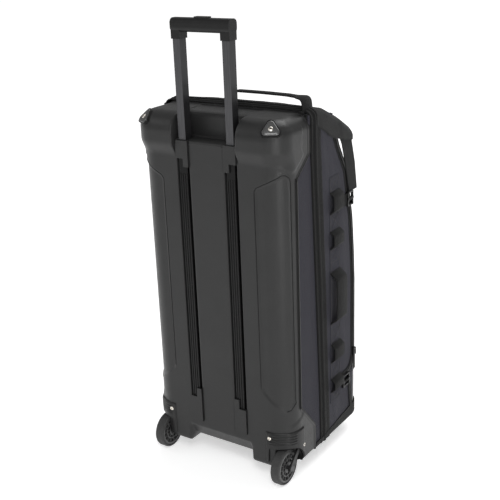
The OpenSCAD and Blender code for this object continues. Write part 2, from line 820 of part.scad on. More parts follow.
zip_pull();
pocket_zip_slider();
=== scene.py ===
"""Looks for the wheeled duffel bag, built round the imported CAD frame.

Sizes are in millimetres in the bag's own space: x across from the middle, y forward
from the shell's flat back face, z up from the floor. at() turns them into metres.
"""
import math

import bmesh
import bpy
import numpy as np
from mathutils import Matrix, Vector


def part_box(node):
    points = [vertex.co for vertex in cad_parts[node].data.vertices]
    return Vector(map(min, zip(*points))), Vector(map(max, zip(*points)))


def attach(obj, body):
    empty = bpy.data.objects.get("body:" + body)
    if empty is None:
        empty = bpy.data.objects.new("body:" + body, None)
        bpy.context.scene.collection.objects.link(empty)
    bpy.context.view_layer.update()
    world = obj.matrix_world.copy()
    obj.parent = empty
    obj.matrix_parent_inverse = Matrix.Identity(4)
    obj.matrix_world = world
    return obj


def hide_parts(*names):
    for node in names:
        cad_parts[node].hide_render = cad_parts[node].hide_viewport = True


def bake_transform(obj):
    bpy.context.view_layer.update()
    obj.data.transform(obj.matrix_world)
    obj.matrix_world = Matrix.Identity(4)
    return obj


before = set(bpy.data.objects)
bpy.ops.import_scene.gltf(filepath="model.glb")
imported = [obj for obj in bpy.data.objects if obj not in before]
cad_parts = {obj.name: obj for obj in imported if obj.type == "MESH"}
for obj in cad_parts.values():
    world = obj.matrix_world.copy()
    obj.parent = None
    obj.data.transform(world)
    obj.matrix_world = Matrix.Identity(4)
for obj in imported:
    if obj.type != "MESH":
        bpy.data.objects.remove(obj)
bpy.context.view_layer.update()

# ---- sizes shared with the CAD model, in millimetres ----

MM = 0.001
BUMP = 10                                   # how far the corner bumps stand out behind
shell_box, front_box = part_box("back_shell"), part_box("lid_panel")
BACK = shell_box[0].y + BUMP * MM           # the shell's flat back face, in metres
HALF = round(shell_box[1].x / MM, 2)        # half the bag's width
TOP = round(shell_box[1].z / MM, 2)         # the shell's top
LOW = round(shell_box[0].z / MM, 2)         # the shell's underside
FRONT = round((front_box[1].y - BACK) / MM, 2)
CORNER = 45                                 # radius of the shell's upright corners
TOP_CORNER = 30                             # radius of its top corners, seen from behind
WAIST, HEAD, FOOT = 44, 92, 98              # depth of the shell's sides
ANKLE_Z, FOOT_Z, NECK_Z, HEAD_Z = 157, 93, TOP - 110, TOP - 72
NOTCH_Z = TOP - 50                          # floor of the notch for the grip
CHANNEL = 24                                # depth of the tubes' channels
TUBE_X = 54                                 # where the tubes stand
AXLE_Y, WHEEL_R, WHEEL_X = 12, 37, 144
WELL_R, WELL_X = 42, 130
FRONT_R = 26                                # radius of the front's upright corners
ZIP_Y = FRONT - FRONT_R                     # depth of the side zips below the lean
HINGE_Z = 150
CHAIN_Y, WEB = 163, 40
TAPE_W = 38

# ---- helpers ----


def smooth(t):
    t = np.clip(t, 0, 1)
    return t * t * (3 - 2 * t)


def at(points):
    """Millimetres in the bag's space to metres in the frame."""
    p = np.array(points, float).reshape(-1, 3) * MM
    p[:, 1] += BACK
    return p


def quads(rows, cols, ring=False):
    """Faces of a grid whose points run along each row; ring joins a row's ends."""
    faces = []
    for i in range(rows - 1):
        for j in range(cols if ring else cols - 1):
            k = (j + 1) % cols
            faces.append((i * cols + j, i * cols + k, (i + 1) * cols + k, (i + 1) * cols + j))
    return faces


def end_faces(rows, cols):
    """The two faces that close the ends of a ring grid."""
    last = (rows - 1) * cols
    return [tuple(reversed(range(cols))), tuple(range(last, last + cols))]


def lengths(path):
    """The distance along a path at each of its points."""
    steps = np.linalg.norm(np.diff(np.array(path, float), axis=0), axis=1)
    return np.concatenate([[0], np.cumsum(steps)])


def spot(path, gaps, s):
    """The points at distances s along a path whose own distances are gaps."""
    return np.stack([np.interp(s, gaps, c) for c in np.transpose(path)], -1)


def unit_rows(vectors):
    return vectors / np.maximum(np.linalg.norm(vectors, axis=1)[:, None], 1e-9)


def piece(name, points, faces, body, material, stands_for=(), slot=None, side=1,
          thick=0, sharp=40):
    """A mesh piece from points in millimetres; side -1 mirrors it to the left."""
    p = at(points)
    if side < 0:
        p[:, 0] *= -1
        faces = [tuple(reversed(f)) for f in faces]
    mesh = bpy.data.meshes.new(name)
    mesh.from_pydata(p.tolist(), [], faces)
    mesh.validate()
    obj = bpy.data.objects.new(name, mesh)
    bpy.context.scene.collection.objects.link(obj)
    if thick:
        add = obj.modifiers.new("thickness", "SOLIDIFY")
        add.thickness, add.offset = thick * MM, -1
        bake_modifiers(obj)
    obj.data.shade_smooth()
    obj.data.set_sharp_from_angle(angle=math.radians(sharp))
    obj.data.materials.clear()
    obj.data.materials.append(material)
    return dress(obj, body, stands_for)


def pair(stem, part, body, material, cad="", slot=None, **more):
    """A piece on the right and its mirror image on the left. A name that ends in _ takes the
    side's own name; a CAD node without it stands for both sides, and goes with the right."""
    made = []
    for side, name in ((1, "right"), (-1, "left")):
        own_body, node = (n + name if n.endswith("_") else n for n in (body, cad))
        nodes = [node] if node != cad or cad and side > 0 else ()
        made.append(piece(f"{stem}_{name}", *part, own_body, material, nodes, slot, side=side,
                          **more))
    return made


def bake_modifiers(obj):
    shape = obj.evaluated_get(bpy.context.evaluated_depsgraph_get())
    mesh = bpy.data.meshes.new_from_object(shape)
    obj.modifiers.clear()
    obj.data = mesh


def dress(obj, body, stands_for=()):
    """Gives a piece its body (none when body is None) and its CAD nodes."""
    if body:
        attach(obj, body)
    if stands_for:
        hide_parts(*stands_for)
    return obj


def joined(parts):
    """Several (points, faces) as one."""
    points, faces, n = [], [], 0
    for p, f in parts:
        p = np.array(p, float).reshape(-1, 3)
        points.append(p)
        faces += [tuple(i + n for i in face) for face in f]
        n += len(p)
    return np.concatenate(points), faces


def sweep(path, section, closed=False, up=(0, 0, 1)):
    """A section of (across, out) points carried along a path of 3-D points."""
    path = np.array(path, float)
    n = len(path)
    nxt, prv = np.roll(path, -1, 0), np.roll(path, 1, 0)
    if not closed:
        nxt[-1], prv[0] = path[-1], path[0]
    along = unit_rows(nxt - prv)
    across = unit_rows(np.cross(np.array(up, float), along))
    out = np.cross(along, across)
    s = np.array(section, float)
    points = (path[:, None] + across[:, None] * s[None, :, :1] + out[:, None] * s[None, :, 1:])
    faces = quads(n, len(s), ring=True)
    if closed:
        m = (n - 1) * len(s)
        faces += [(m + j, m + (j + 1) % len(s), (j + 1) % len(s), j) for j in range(len(s))]
    else:
        faces += end_faces(n, len(s))
    return points.reshape(-1, 3), faces


def circle(r, n=10):
    return [(r * math.cos(math.tau * k / n), r * math.sin(math.tau * k / n)) for k in range(n)]


def rounded_box(low, high, r=2.0):
    """A box with rounded edges, as (points, faces)."""
    bm = bmesh.new()
    bmesh.ops.create_cube(bm, size=1.0)
    low, high = Vector(low), Vector(high)
    for v in bm.verts:
        v.co = Vector([(low[i] + high[i]) / 2 + v.co[i] * (high[i] - low[i]) for i in range(3)])
    bmesh.ops.bevel(bm, geom=bm.edges[:] + bm.verts[:], offset=r, segments=3, profile=0.5,
                    affect="EDGES", clamp_overlap=True)
    bm.verts.index_update()
    out = [tuple(v.co) for v in bm.verts], [tuple(v.index for v in f.verts) for f in bm.faces]
    bm.free()
    return out


def revolve(profile, n=64):
    """A profile of (x, radius) turned about the x axis."""
    points = [(x, r * math.cos(2 * math.pi * k / n), r * math.sin(2 * math.pi * k / n))
              for x, r in profile for k in range(n)]
    return points, quads(len(profile), n, ring=True)


def moved(part, by):
    return np.array(part[0], float) + np.array(by, float), part[1]


def turned(part, matrix):
    return np.array([matrix @ Vector(p) for p in part[0]]), part[1]


def edge_y(z):
    """Depth of the shell's side at a height."""
    return np.interp(z, [FOOT_Z, ANKLE_Z, NECK_Z, HEAD_Z], [FOOT, WAIST, WAIST, HEAD])


def tape_y(z):
    """The back edge of the side's edge tape."""
    return 96 + (HEAD_Z - z) * 0.041


def zip_y(z):
    """Depth of the side zips at a height: upright, then leaning back towards the top."""
    return np.interp(z, [350, 420, 494, 593, 650, 690], [262, 258, 251, 229, 197, 180])

# ---- materials ----


def node_of(tree, kind, **values):
    node = tree.nodes.new(kind)
    for key, value in values.items():
        setattr(node, key, value)
    return node


def blank(name):
    """A material with a Principled shader, and its object coordinates in millimetres."""
    mat = bpy.data.materials.new(name)
    mat.use_nodes = True
    tree = mat.node_tree
    tree.nodes.clear()
    out = node_of(tree, "ShaderNodeOutputMaterial")
    shader = node_of(tree, "ShaderNodeBsdfPrincipled")
    tree.links.new(shader.outputs[0], out.inputs[0])
    coord = node_of(tree, "ShaderNodeTexCoord")
    scale = node_of(tree, "ShaderNodeVectorMath", operation="SCALE")
    put(scale, Scale=1 / MM)
    tree.links.new(coord.outputs["Object"], scale.inputs[0])
    return mat, tree, shader, scale.outputs[0], coord.outputs["Normal"]


def noise(tree, where, size, detail=2.0, rough=0.5):
    """Noise with lumps of a size in millimetres."""
    node = node_of(tree, "ShaderNodeTexNoise")
    put(node, Scale=1 / size, Detail=detail, Roughness=rough)
    tree.links.new(where, node.inputs["Vector"])
    return node.outputs["Fac"]


def calc(tree, operation, a, b=None, c=None, clamp=False):
    node = node_of(tree, "ShaderNodeMath", operation=operation, use_clamp=clamp)
    for i, value in enumerate((a, b, c)):
        if value is None:
            continue
        if isinstance(value, (int, float)):
            node.inputs[i].default_value = value
        else:
            tree.links.new(value, node.inputs[i])
    return node.outputs[0]


def put(node, **values):
    """Sets a node's sockets by name; _ stands for a space."""
    for key, value in values.items():
        node.inputs[key.replace("_", " ")].default_value = value


def span(tree, value, low, high, to_low, to_high):
    """A value's range between low and high carried to another range."""
    node = node_of(tree, "ShaderNodeMapRange")
    tree.links.new(value, node.inputs["Value"])
    put(node, From_Min=low, From_Max=high, To_Min=to_low, To_Max=to_high)
    return node.outputs["Result"]


def gloss(tree, shader, value, rough, less, more):
    """Roughness that wanders with a value, from less below rough to more above it."""
    wander = span(tree, value, 0.3, 0.7, rough - less, rough + more)
    tree.links.new(wander, shader.inputs["Roughness"])


def wave(tree, value, pitch):
    """A sine along a coordinate, repeating at a pitch in millimetres."""
    return calc(tree, "SINE", calc(tree, "MULTIPLY", value, math.tau / pitch))


def tint(tree, shader, value, dark, light):
    """Base colour between two greys or colours, by a value from 0 to 1."""
    ramp = node_of(tree, "ShaderNodeMix", data_type="RGBA")
    tree.links.new(value, ramp.inputs["Factor"])
    for socket, colour in ((ramp.inputs[6], dark), (ramp.inputs[7], light)):
        colour = (colour,) * 3 if isinstance(colour, (int, float)) else colour
        socket.default_value = (*colour, 1)
    tree.links.new(ramp.outputs[2], shader.inputs["Base Color"])


def raise_by(tree, shader, height, distance):
    """Bump from a height, its depth in millimetres."""
    bump = node_of(tree, "ShaderNodeBump")
    put(bump, Strength=1.0, Distance=distance * MM)
    tree.links.new(height, bump.inputs["Height"])
    tree.links.new(bump.outputs[0], shader.inputs["Normal"])


def axes(tree, where):
    node = node_of(tree, "ShaderNodeSeparateXYZ")
    tree.links.new(where, node.inputs[0])
    return node.outputs


def moulded(name, dark, light, rough, grain=1.1, relief=0.12, specular=0.5, coat=0.0):
    """Moulded plastic: a fine pebble grain, slow changes of tone and gloss."""
    mat, tree, shader, where, _ = blank(name)
    cells = node_of(tree, "ShaderNodeTexVoronoi")
    put(cells, Scale=1 / grain)
    tree.links.new(where, cells.inputs["Vector"])
    slow = noise(tree, where, 60, 3, 0.6)
    fine = noise(tree, where, 2.5, 4, 0.6)
    tone = calc(tree, "MULTIPLY_ADD", fine, 0.35, calc(tree, "MULTIPLY", slow, 0.65))
    tint(tree, shader, tone, dark, light)
    gloss(tree, shader, noise(tree, where, 18, 4, 0.65), rough, 0.05, 0.06)
    raise_by(tree, shader, calc(tree, "MULTIPLY_ADD", fine, 0.5, cells.outputs["Distance"]), relief)
    put(shader, Specular_IOR_Level=specular, Coat_Weight=coat)
    return mat


def woven(name, dark, light, pitch=1.3, relief=0.35, rough=0.85, sheen=0.25, coat=0.0, wear=0.5):
    """Plain-weave cloth, its threads laid along whichever two axes the surface faces."""
    mat, tree, shader, where, normal = blank(name)
    x, y, z = axes(tree, where)
    nx, ny, nz = (calc(tree, "ABSOLUTE", n) for n in axes(tree, normal))
    x, y, z = (wave(tree, axis, 2 * pitch) for axis in (x, y, z))

    def cloth(a, b):
        return calc(tree, "MULTIPLY_ADD", calc(tree, "MULTIPLY", a, b), 0.5, 0.5)

    weave = None
    for pattern, facing in ((cloth(y, z), nx), (cloth(x, z), ny), (cloth(x, y), nz)):
        share = calc(tree, "GREATER_THAN", facing, 0.62)
        part = calc(tree, "MULTIPLY", pattern, share)
        weave = part if weave is None else calc(tree, "MAXIMUM", weave, part)
    slub = noise(tree, where, 5, 4, 0.7)
    slow = noise(tree, where, 45, 2, 0.5)
    tone = calc(tree, "MULTIPLY_ADD", weave, 0.35, calc(tree, "MULTIPLY", slub, 0.65))
    tone = calc(tree, "MULTIPLY_ADD", calc(tree, "SUBTRACT", slow, 0.5), wear, tone, clamp=True)
    tint(tree, shader, tone, dark, light)
    gloss(tree, shader, slow, rough, 0.08, 0.05)
    raise_by(tree, shader, calc(tree, "MULTIPLY_ADD", slub, 0.8, weave), relief)
    put(shader, Specular_IOR_Level=0.3 if coat else 0.18, Sheen_Weight=sheen * 0.3,
        Sheen_Roughness=0.4, Coat_Weight=coat, Coat_Roughness=0.35)
    return mat


def webbed(name, dark, light, along="z", pitch=1.6, relief=0.4, rough=0.75):
    """Webbing: ribs across its width with a herringbone edge to each rib."""
    mat, tree, shader, where, _ = blank(name)
    parts = dict(zip("xyz", axes(tree, where)))
    run = parts.pop(along)
    cross = calc(tree, "ADD", *parts.values())
    zigzag = calc(tree, "PINGPONG", cross, 3.0)
    lean = calc(tree, "MULTIPLY_ADD", zigzag, 0.5, run)
    ribs = calc(tree, "MULTIPLY_ADD", wave(tree, lean, pitch), 0.5, 0.5)
    slub = noise(tree, where, 3, 3, 0.6)
    tone = calc(tree, "MULTIPLY_ADD", ribs, 0.5, calc(tree, "MULTIPLY", slub, 0.5), clamp=True)
    tint(tree, shader, tone, dark, light)
    put(shader, Roughness=rough, Specular_IOR_Level=0.12, Sheen_Weight=0.04)
    raise_by(tree, shader, calc(tree, "MULTIPLY_ADD", slub, 0.5, ribs), relief)
    return mat


def metal(name, colour, rough, streak="z", relief=0.05, metallic=1.0, side=1.0):
    """Metal with fine drawn lines along one axis; side paints shade on the faces turned along x,
    darkening their colour and lines.
    """
    mat, tree, shader, where, normal = blank(name)
    stretch = node_of(tree, "ShaderNodeVectorMath", operation="MULTIPLY")
    stretch.inputs[1].default_value = tuple(0.02 if axis == streak else 1.0 for axis in "xyz")
    tree.links.new(where, stretch.inputs[0])
    lines = noise(tree, stretch.outputs[0], 0.8, 3, 0.6)
    light = tuple(min(1, c * 1.25) for c in colour)
    # painted shade: below 1, side darkens the faces turned along x as if they stood in shade
    if side < 1:
        turned_x = calc(tree, "ABSOLUTE", axes(tree, normal)[0])
        lines = calc(tree, "MULTIPLY", lines, span(tree, turned_x, 0.35, 0.75, 1.0, side))
        colour = tuple(c * side for c in colour)
    tint(tree, shader, lines, colour, light)
    gloss(tree, shader, lines, rough, 0.06, 0.08)
    put(shader, Metallic=metallic)
    raise_by(tree, shader, lines, relief)
    return mat


def rubbery(name, dark, light, rough=0.55, groove=0, relief=0.25):
    """Rubber with a fine bloom; groove is the pitch of ribs across x, or 0."""
    mat, tree, shader, where, _ = blank(name)
    put(shader, Specular_IOR_Level=0.3)
    fine = noise(tree, where, 0.9, 4, 0.7)
    slow = noise(tree, where, 12, 3, 0.6)
    tone = calc(tree, "MULTIPLY_ADD", slow, 0.7, calc(tree, "MULTIPLY", fine, 0.3))
    tint(tree, shader, tone, dark, light)
    gloss(tree, shader, slow, rough, 0.07, 0.07)
    height = fine
    if groove:
        height = calc(tree, "MULTIPLY_ADD", wave(tree, axes(tree, where)[0], groove), 0.6, fine)
    raise_by(tree, shader, height, relief)
    return mat


SHELL = moulded("shell plastic", 0.0165, 0.0255, 0.34, specular=0.27)
# near-black painted shade, for the gap round the corner pads, behind the wheel spokes and along the
# shell panel's edge
SHADE_BLACK = moulded("groove", 0.002, 0.004, 0.5, specular=0.2)
SPOKE = moulded("spoke plastic", 0.045, 0.07, 0.36, relief=0.05, specular=0.4)
PLATE = moulded("plate plastic", 0.010, 0.017, 0.40, specular=0.3)
CAP = moulded("cap plastic", 0.040, 0.055, 0.26, relief=0.06, coat=0.3)
COLLAR = moulded("collar plastic", 0.016, 0.025, 0.36, specular=0.27)
TUBE_RIB = moulded("tube rib paint", 0.005, 0.009, 0.34, relief=0.04, specular=0.22)
BLACK = moulded("black plastic", 0.003, 0.006, 0.34, relief=0.05, specular=0.35)
ZIP_TAPE = webbed("zip tape", 0.004, 0.010, pitch=0.9, relief=0.15)
BUTTON = moulded("button plastic", 0.006, 0.011, 0.30, relief=0.04, specular=0.4)
SIDE = woven("side cloth", (0.018, 0.0175, 0.024), (0.037, 0.036, 0.046))
GUSSET = woven("gusset cloth", (0.016, 0.0155, 0.022), (0.034, 0.033, 0.042))
DARK = woven("dark cloth", 0.009, 0.020, pitch=1.8, relief=0.5)
UNDER = woven("underside cloth", 0.006, 0.014, pitch=2.0, relief=0.5)
GLOSSY = woven("coated cloth", 0.006, 0.014, pitch=1.6, relief=0.12, rough=0.36, sheen=0.0,
               coat=0.22)
LINING = woven("lining", (0.10, 0.10, 0.11), (0.15, 0.15, 0.16), pitch=0.8, relief=0.1)
WEBBING = webbed("webbing", 0.007, 0.019)
WEB_ACROSS = webbed("webbing laid across", 0.014, 0.032, along="y")
TAPE = webbed("edge tape", 0.005, 0.012, pitch=1.1, relief=0.25)
HANDLE_WEB = webbed("handle webbing", 0.004, 0.012, along="x")
BEADING = rubbery("beading", 0.003, 0.006, 0.5)
GRIP = rubbery("grip rubber", 0.003, 0.006, 0.45)
TREAD = rubbery("tread", 0.036, 0.056, 0.6, groove=2.4, relief=0.5)
FOOT_RUBBER = rubbery("foot rubber", 0.008, 0.016)
THREAD = webbed("thread", 0.045, 0.085, pitch=2.2, relief=0.3)
TUBE = moulded("tube paint", 0.003, 0.005, 0.36, relief=0.04, specular=0.15)
# painted shade: the legs' faces turned along x are darkened to 0.22 of their colour
LEG = metal("leg metal", (0.085, 0.085, 0.090), 0.34, metallic=0.6, side=0.22)
STEEL = metal("steel", (0.62, 0.59, 0.54), 0.25, streak="x")
AXLE = metal("axle metal", (0.05, 0.05, 0.052), 0.34, streak="x", metallic=0.7)
BOARD = moulded("base board", 0.07, 0.10, 0.6)

# ---- back shell ----

ARC = CORNER * math.pi / 2                  # length of the corner's arc round the shell
FLAT = HALF - CORNER                        # half the flat of the back face


def distance(q, z, outline):
    """How far points lie inside an outline, in millimetres; negative outside."""
    p = np.stack([q, z], -1)
    a = np.array(outline, float)
    b = np.roll(a, -1, 0)
    near = np.full(q.shape, 1e9)
    inside = np.zeros(q.shape, bool)
    for s, e in zip(a, b):
        d = e - s
        t = np.clip(((p - s) @ d) / (d @ d), 0, 1)
        near = np.minimum(near, np.linalg.norm(p - (s + t[..., None] * d), axis=-1))
        if s[1] != e[1]:
            cross = (s[1] > z) != (e[1] > z)
            inside ^= cross & (q < (e[0] - s[0]) * (z - s[1]) / (e[1] - s[1]) + s[0])
    return np.where(inside, near, -near)


# Outlines on the shell, as (distance round the shell from the middle, height).
WAIST_PANEL = [(103, 601), (108, 608), (157, 632), (164, 632), (172, 627), (175, 618), (177, 180),
               (179, 174), (166, 161), (157, 159), (133, 173), (108, 195), (104, 204)]
HEAD_PANEL = [(74, 648), (120, 650), (132, 650), (178, 633.5), (187, 635), (221, 659), (227, 703),
              (227, 760), (74, 760)]
FOOT_PANEL = [(146, 119), (163, 125.5), (194, 138), (201, 152), (270, 152), (270, 0), (146, 0)]


def relief(q, z):
    """The shell's pressed panels: how far they stand out from the plain surface."""
    q = np.abs(q)
    waist = smooth(distance(q, z, WAIST_PANEL) / 3.2)
    head = smooth(distance(q, z, HEAD_PANEL) / 2.6) * smooth((q - 118) / 20)
    foot = smooth(distance(q, z, FOOT_PANEL) / 4) * smooth((q - 146) / 14)
    return 1.4 * head + 1.5 * foot - 2.2 * waist


def around(q, inset=0.0, shift=0.0, side_inset=None):
    """Plan position and outward direction at a distance q round the shell."""
    side_inset = inset if side_inset is None else side_inset
    turn = np.clip((np.abs(q) - FLAT) / CORNER, 0, math.pi / 2)
    s, c = np.sin(turn), np.cos(turn)
    x = np.minimum(np.abs(q), FLAT) + (CORNER - side_inset) * s
    y = CORNER + shift - (CORNER - inset) * c + np.maximum(np.abs(q) - FLAT - ARC, 0)
    return np.sign(q) * x, y, np.sign(q) * s, -c


def in_well(x, y, z):
    near = (y - AXLE_Y) ** 2 + (z - WHEEL_R) ** 2 < (WELL_R - 0.01) ** 2
    return (np.abs(x) > WELL_X - 0.2) & near


def snap_to_well(x, y, z):
    """Moves points inside the wheel well to its rim, along z at its top and y at its front."""
    dy, dz = y - AXLE_Y, z - WHEEL_R
    inside = in_well(x, y, z)
    up = inside & (dz > np.abs(dy) * 0.9)
    fore = inside & ~up
    z = np.where(up, WHEEL_R + np.sqrt(np.maximum(WELL_R ** 2 - dy ** 2, 0)), z)
    y = np.where(fore, AXLE_Y + np.sqrt(np.maximum(WELL_R ** 2 - dz ** 2, 0)), y)
    return y, z


def half_columns():
    """Columns from the middle to the corner: distance, share of the notch, of the channel."""
    wall = ((0.0, 0.0), (1.0, 0.02), (1.6, 0.08), (1.9, 0.3), (2.0, 0.7), (2.3, 0.94), (3.0, 1.0))
    low, high = TUBE_X - 15.4, TUBE_X + 15.4
    cols = [(q, 1, 0) for q in np.linspace(0, low - 4, 8)]
    cols += [(low + a, 1, b) for a, b in wall]
    cols += [(q, 1, 1) for q in (45, 49, 54, 59, 63)]
    cols += [(high - a, 1, b) for a, b in reversed(wall)]
    cols += [(69.9, 0.985, 0), (70.3, 0.94, 0), (70.7, 0.8, 0), (70.9, 0.5, 0), (71.0, 0.2, 0),
             (71.3, 0.08, 0), (72, 0.03, 0), (73, 0.008, 0), (74.5, 0, 0)]
    cols += [(q, 0, 0) for q in np.linspace(76.5, FLAT, 18)]
    cols += [(q, 0, 0) for q in np.linspace(FLAT, FLAT + ARC, 30)[1:]]
    return cols


def shell_rows():
    """Rows from the underside's front to the top's front, each as the plain path and the
    path of the notch and belly: (y, z, y, z, part)."""
    rows, r = [], 9
    for t in np.linspace(0, 1, 14)[:-1]:
        rows.append((FOOT + (r - FOOT) * t, LOW, 97 + (18 - 97) * t, 48, "under"))
    for t in np.linspace(0, 1, 6)[:-1]:
        a = math.pi / 2 * t
        rows.append((r - r * math.sin(a), LOW + r - r * math.cos(a), 18 - 6 * t, 48 + 4 * t,
                     "turn"))
    for t in np.linspace(0, 1, 14)[:-1]:
        rows.append((0, LOW + r + (78 - LOW - r) * t, 12 * (1 - t), 52 + 26 * t, "belly"))
    levels = [78, 81, 84, 87, 89.5, 91.2, 91.7, 92.0, 92.3, 93, 96, *np.linspace(99, 648, 184)]
    rows += [(0, z, 0, z, "back") for z in levels[:-1]]
    for z in np.linspace(648, 676, 12)[:-1]:
        rows.append((-BUMP * smooth((z - 648) / 28), z, 0, z, "ramp"))
    back_r = 36
    rows += [(-BUMP, z, 0, 0, "head") for z in np.linspace(676, TOP - back_r, 7)[:-1]]
    for t in np.linspace(0, 1, 15):
        a = math.pi / 2 * t
        rows.append((back_r - BUMP - back_r * math.cos(a),
                     TOP - back_r + back_r * math.sin(a), 0, 0, "head"))
    for y in np.linspace(back_r - BUMP, HEAD, 16)[1:]:
        rows.append((y, TOP, 0, 0, "top"))
    notch = np.array([(0, 676), (1.2, 678.8), (4, NOTCH_Z), (36, NOTCH_Z), (39, 681), (40, 685),
                      (40, 722), (41.5, 726.5), (46, 728), (HEAD, 729)], float)
    first = next(i for i, row in enumerate(rows) if row[4] == "head")
    gaps = lengths(notch)
    where = np.linspace(0, gaps[-1], len(rows) - first)
    for i, w in enumerate(where):
        y, z, _, _, part = rows[first + i]
        rows[first + i] = (y, z, *(np.interp(w, gaps, c) for c in notch.T), part)
    return rows


def side_fractions():
    t = np.linspace(0, 1, 24)[1:]
    return np.sin(t * math.pi / 2) * 0.4 + t * 0.6


def shell_mesh():
    half, rows, fractions = half_columns(), shell_rows(), side_fractions()
    n_half = len(half) + len(fractions)
    index, points, faces, cut = {}, [], [], set()
    for k, (by, bz, ny, nz, part) in enumerate(rows):
        shift = -BUMP * smooth((bz - 648) / 28)
        inset = max(by - shift, 0) if part in ("turn", "head", "under") else 0.0
        side_inset = inset
        if part not in ("turn", "under"):
            over_bend = max(bz - (TOP - TOP_CORNER), 0)
            side_inset = TOP_CORNER - math.sqrt(max(TOP_CORNER ** 2 - over_bend ** 2, 0))
        end = edge_y(bz)
        for j in range(n_half):
            if part in ("under", "top") and (j >= len(half) or half[j][0] > FLAT + 0.01):
                continue
            if j < len(half):
                q, notch, channel = half[j]
            else:
                start = CORNER + shift
                q = FLAT + ARC + (end - start) * fractions[j - len(half)]
                notch = channel = 0
            if q <= FLAT + 0.01:
                belly = 1 - smooth((q - 72) / 8)
                share = belly if part in ("under", "turn", "belly") else notch
                x, y, z = q, by + (ny - by) * share, bz + (nz - bz) * share
                if channel and 91.6 < nz <= NOTCH_Z + 0.01 and part in ("back", "ramp", "head"):
                    deep = CHANNEL * min(1.0, (nz - 91.6) / 0.8)
                    y = max(y, channel * deep)
                if part in ("back", "ramp"):
                    y -= relief(q, z)
            else:
                x, y, out_x, out_y = around(q, inset, shift, side_inset)
                z = bz
                if part in ("belly", "back", "ramp", "head") and bz < TOP - 20:
                    out = relief(q, z)
                    if j >= len(half):
                        to_edge = (1 - fractions[j - len(half)]) * (end - start)
                        out += 0.9 * smooth((5 - to_edge) / 2)
                    x, y = x + out_x * out, y + out_y * out
            gone = in_well(x, y, z)
            y, z = snap_to_well(x, y, z)
            for side in (1, -1) if q > 0 else (1,):
                index[k, j, side] = len(points)
                if gone:
                    cut.add(len(points))
                points.append((side * x, y, z))
            index[k, j, -1] = index[k, j, -1 if q > 0 else 1]
    for k in range(len(rows) - 1):
        for j in range(n_half - 1):
            for side in (1, -1):
                keys = [(k, j, side), (k, j + 1, side), (k + 1, j + 1, side), (k + 1, j, side)]
                if any(key not in index for key in keys):
                    continue
                face = [index[key] for key in keys]
                if all(v in cut for v in face):
                    continue
                faces.append(tuple(face if side > 0 else reversed(face)))
    flat_j = max(j for j in range(len(half)) if half[j][0] <= FLAT + 0.01)
    head_end = max(k for k, row in enumerate(rows) if row[4] == "head")
    turn_start = min(k for k, row in enumerate(rows) if row[4] == "turn")
    for side in (1, -1):
        ring = [index[(head_end, j, side)] for j in range(flat_j, n_half)]
        line = [index[(k, flat_j, side)] for k in range(len(rows) - 1, head_end, -1)]
        face = ring + line
        faces.append(tuple(face if side > 0 else reversed(face)))
        line = [index[(k, flat_j, side)] for k in range(0, turn_start)]
        fore = [index[(turn_start, j, side)] for j in range(n_half - 1, flat_j, -1)]
        fore = [v for v in fore if v not in cut]
        y_cut = AXLE_Y + math.sqrt(WELL_R ** 2 - (LOW - WHEEL_R) ** 2)
        points += [(side * x, y, LOW) for x, y in ((153, y_cut), (128, y_cut), (128, 10))]
        n = len(points)
        face = line + [n - 1, n - 2, n - 3] + fore[::-1]
        faces.append(tuple(reversed(face) if side > 0 else face))
    return points, faces


SHELL_PIECE = piece("shell", *shell_mesh(), "bag", SHELL, ["back_shell"], "shell_plastic",
                    thick=2.6, sharp=32)


def well_liner():
    """The walls of one wheel well inside the shell: its barrel and its inner disc."""
    across, lowest = np.linspace(WELL_X, HALF - 2.5, 14), math.asin((LOW + 1 - WHEEL_R) / WELL_R)
    points = []
    for x in across:
        back = CORNER - math.sqrt(max(CORNER ** 2 - max(x - FLAT, 0) ** 2, 0)) + 1.5
        highest = math.acos(max(-1, min(1, (back - AXLE_Y) / WELL_R)))
        for a in np.linspace(lowest, highest, 40):
            points.append((x, AXLE_Y + WELL_R * math.cos(a), WHEEL_R + WELL_R * math.sin(a)))
    disc = points[:40] + [(WELL_X, 1.5, LOW + 1)]
    return joined([(points, quads(14, 40)), (disc, [tuple(range(41))])])


pair("wheel_well", well_liner(), "bag", BLACK, slot="plate_plastic", thick=1.5)


def plate_mesh():
    """The ribbed plate over a boss, wrapped round the corner and cut for the wheel."""
    qs, zs = np.linspace(112, FLAT + ARC + 9, 60), np.linspace(46, 113, 60)
    points, cut = [], set()
    for z in zs:
        for q in qs:
            rim = min((q - qs[0]) / 2, (qs[-1] - q) / 2, (113 - z) / 2, 1.0)
            x, y, out_x, out_y = around(q)
            lift = 0.6 + 2.2 * smooth(rim) + relief(q, z)
            if z > 84 and 118 < q < 178:
                lift += 0.7 * math.sin((z - 84) * math.tau / 5.6) * smooth((z - 84) / 4) \
                    * smooth((q - 118) / 3) * smooth((178 - q) / 3) * smooth((112 - z) / 2)
            lift -= 1.2 * math.exp(-((q - 121) ** 2 + (z - 100) ** 2) / 60)
            x, y = x + out_x * lift, y + out_y * lift
            r = math.hypot(y - AXLE_Y, z - WHEEL_R)
            if r < WELL_R + 0.5 and x > WELL_X - 12:
                cut.add(len(points))
                points.append((x, *snap_to_well(200, y, z)))
            else:
                points.append((x, y, z))
    faces = [f for f in quads(60, 60) if not all(v in cut for v in f)]
    return points, faces


pair("boss_plate", plate_mesh(), "bag", PLATE, "wheel_housing_", "plate_plastic", thick=1.6)

# ---- soft body ----

TOP_R = 14                                  # rounding between the sides and the top
LIFTED = [(98, 732), (122, 733), (154, 726), (202, 704), (250, 676), (262, 664)]


def crest(y):
    """Height of the cloth top at a depth."""
    return np.interp(y, [p[0] for p in LIFTED], [p[1] for p in LIFTED])


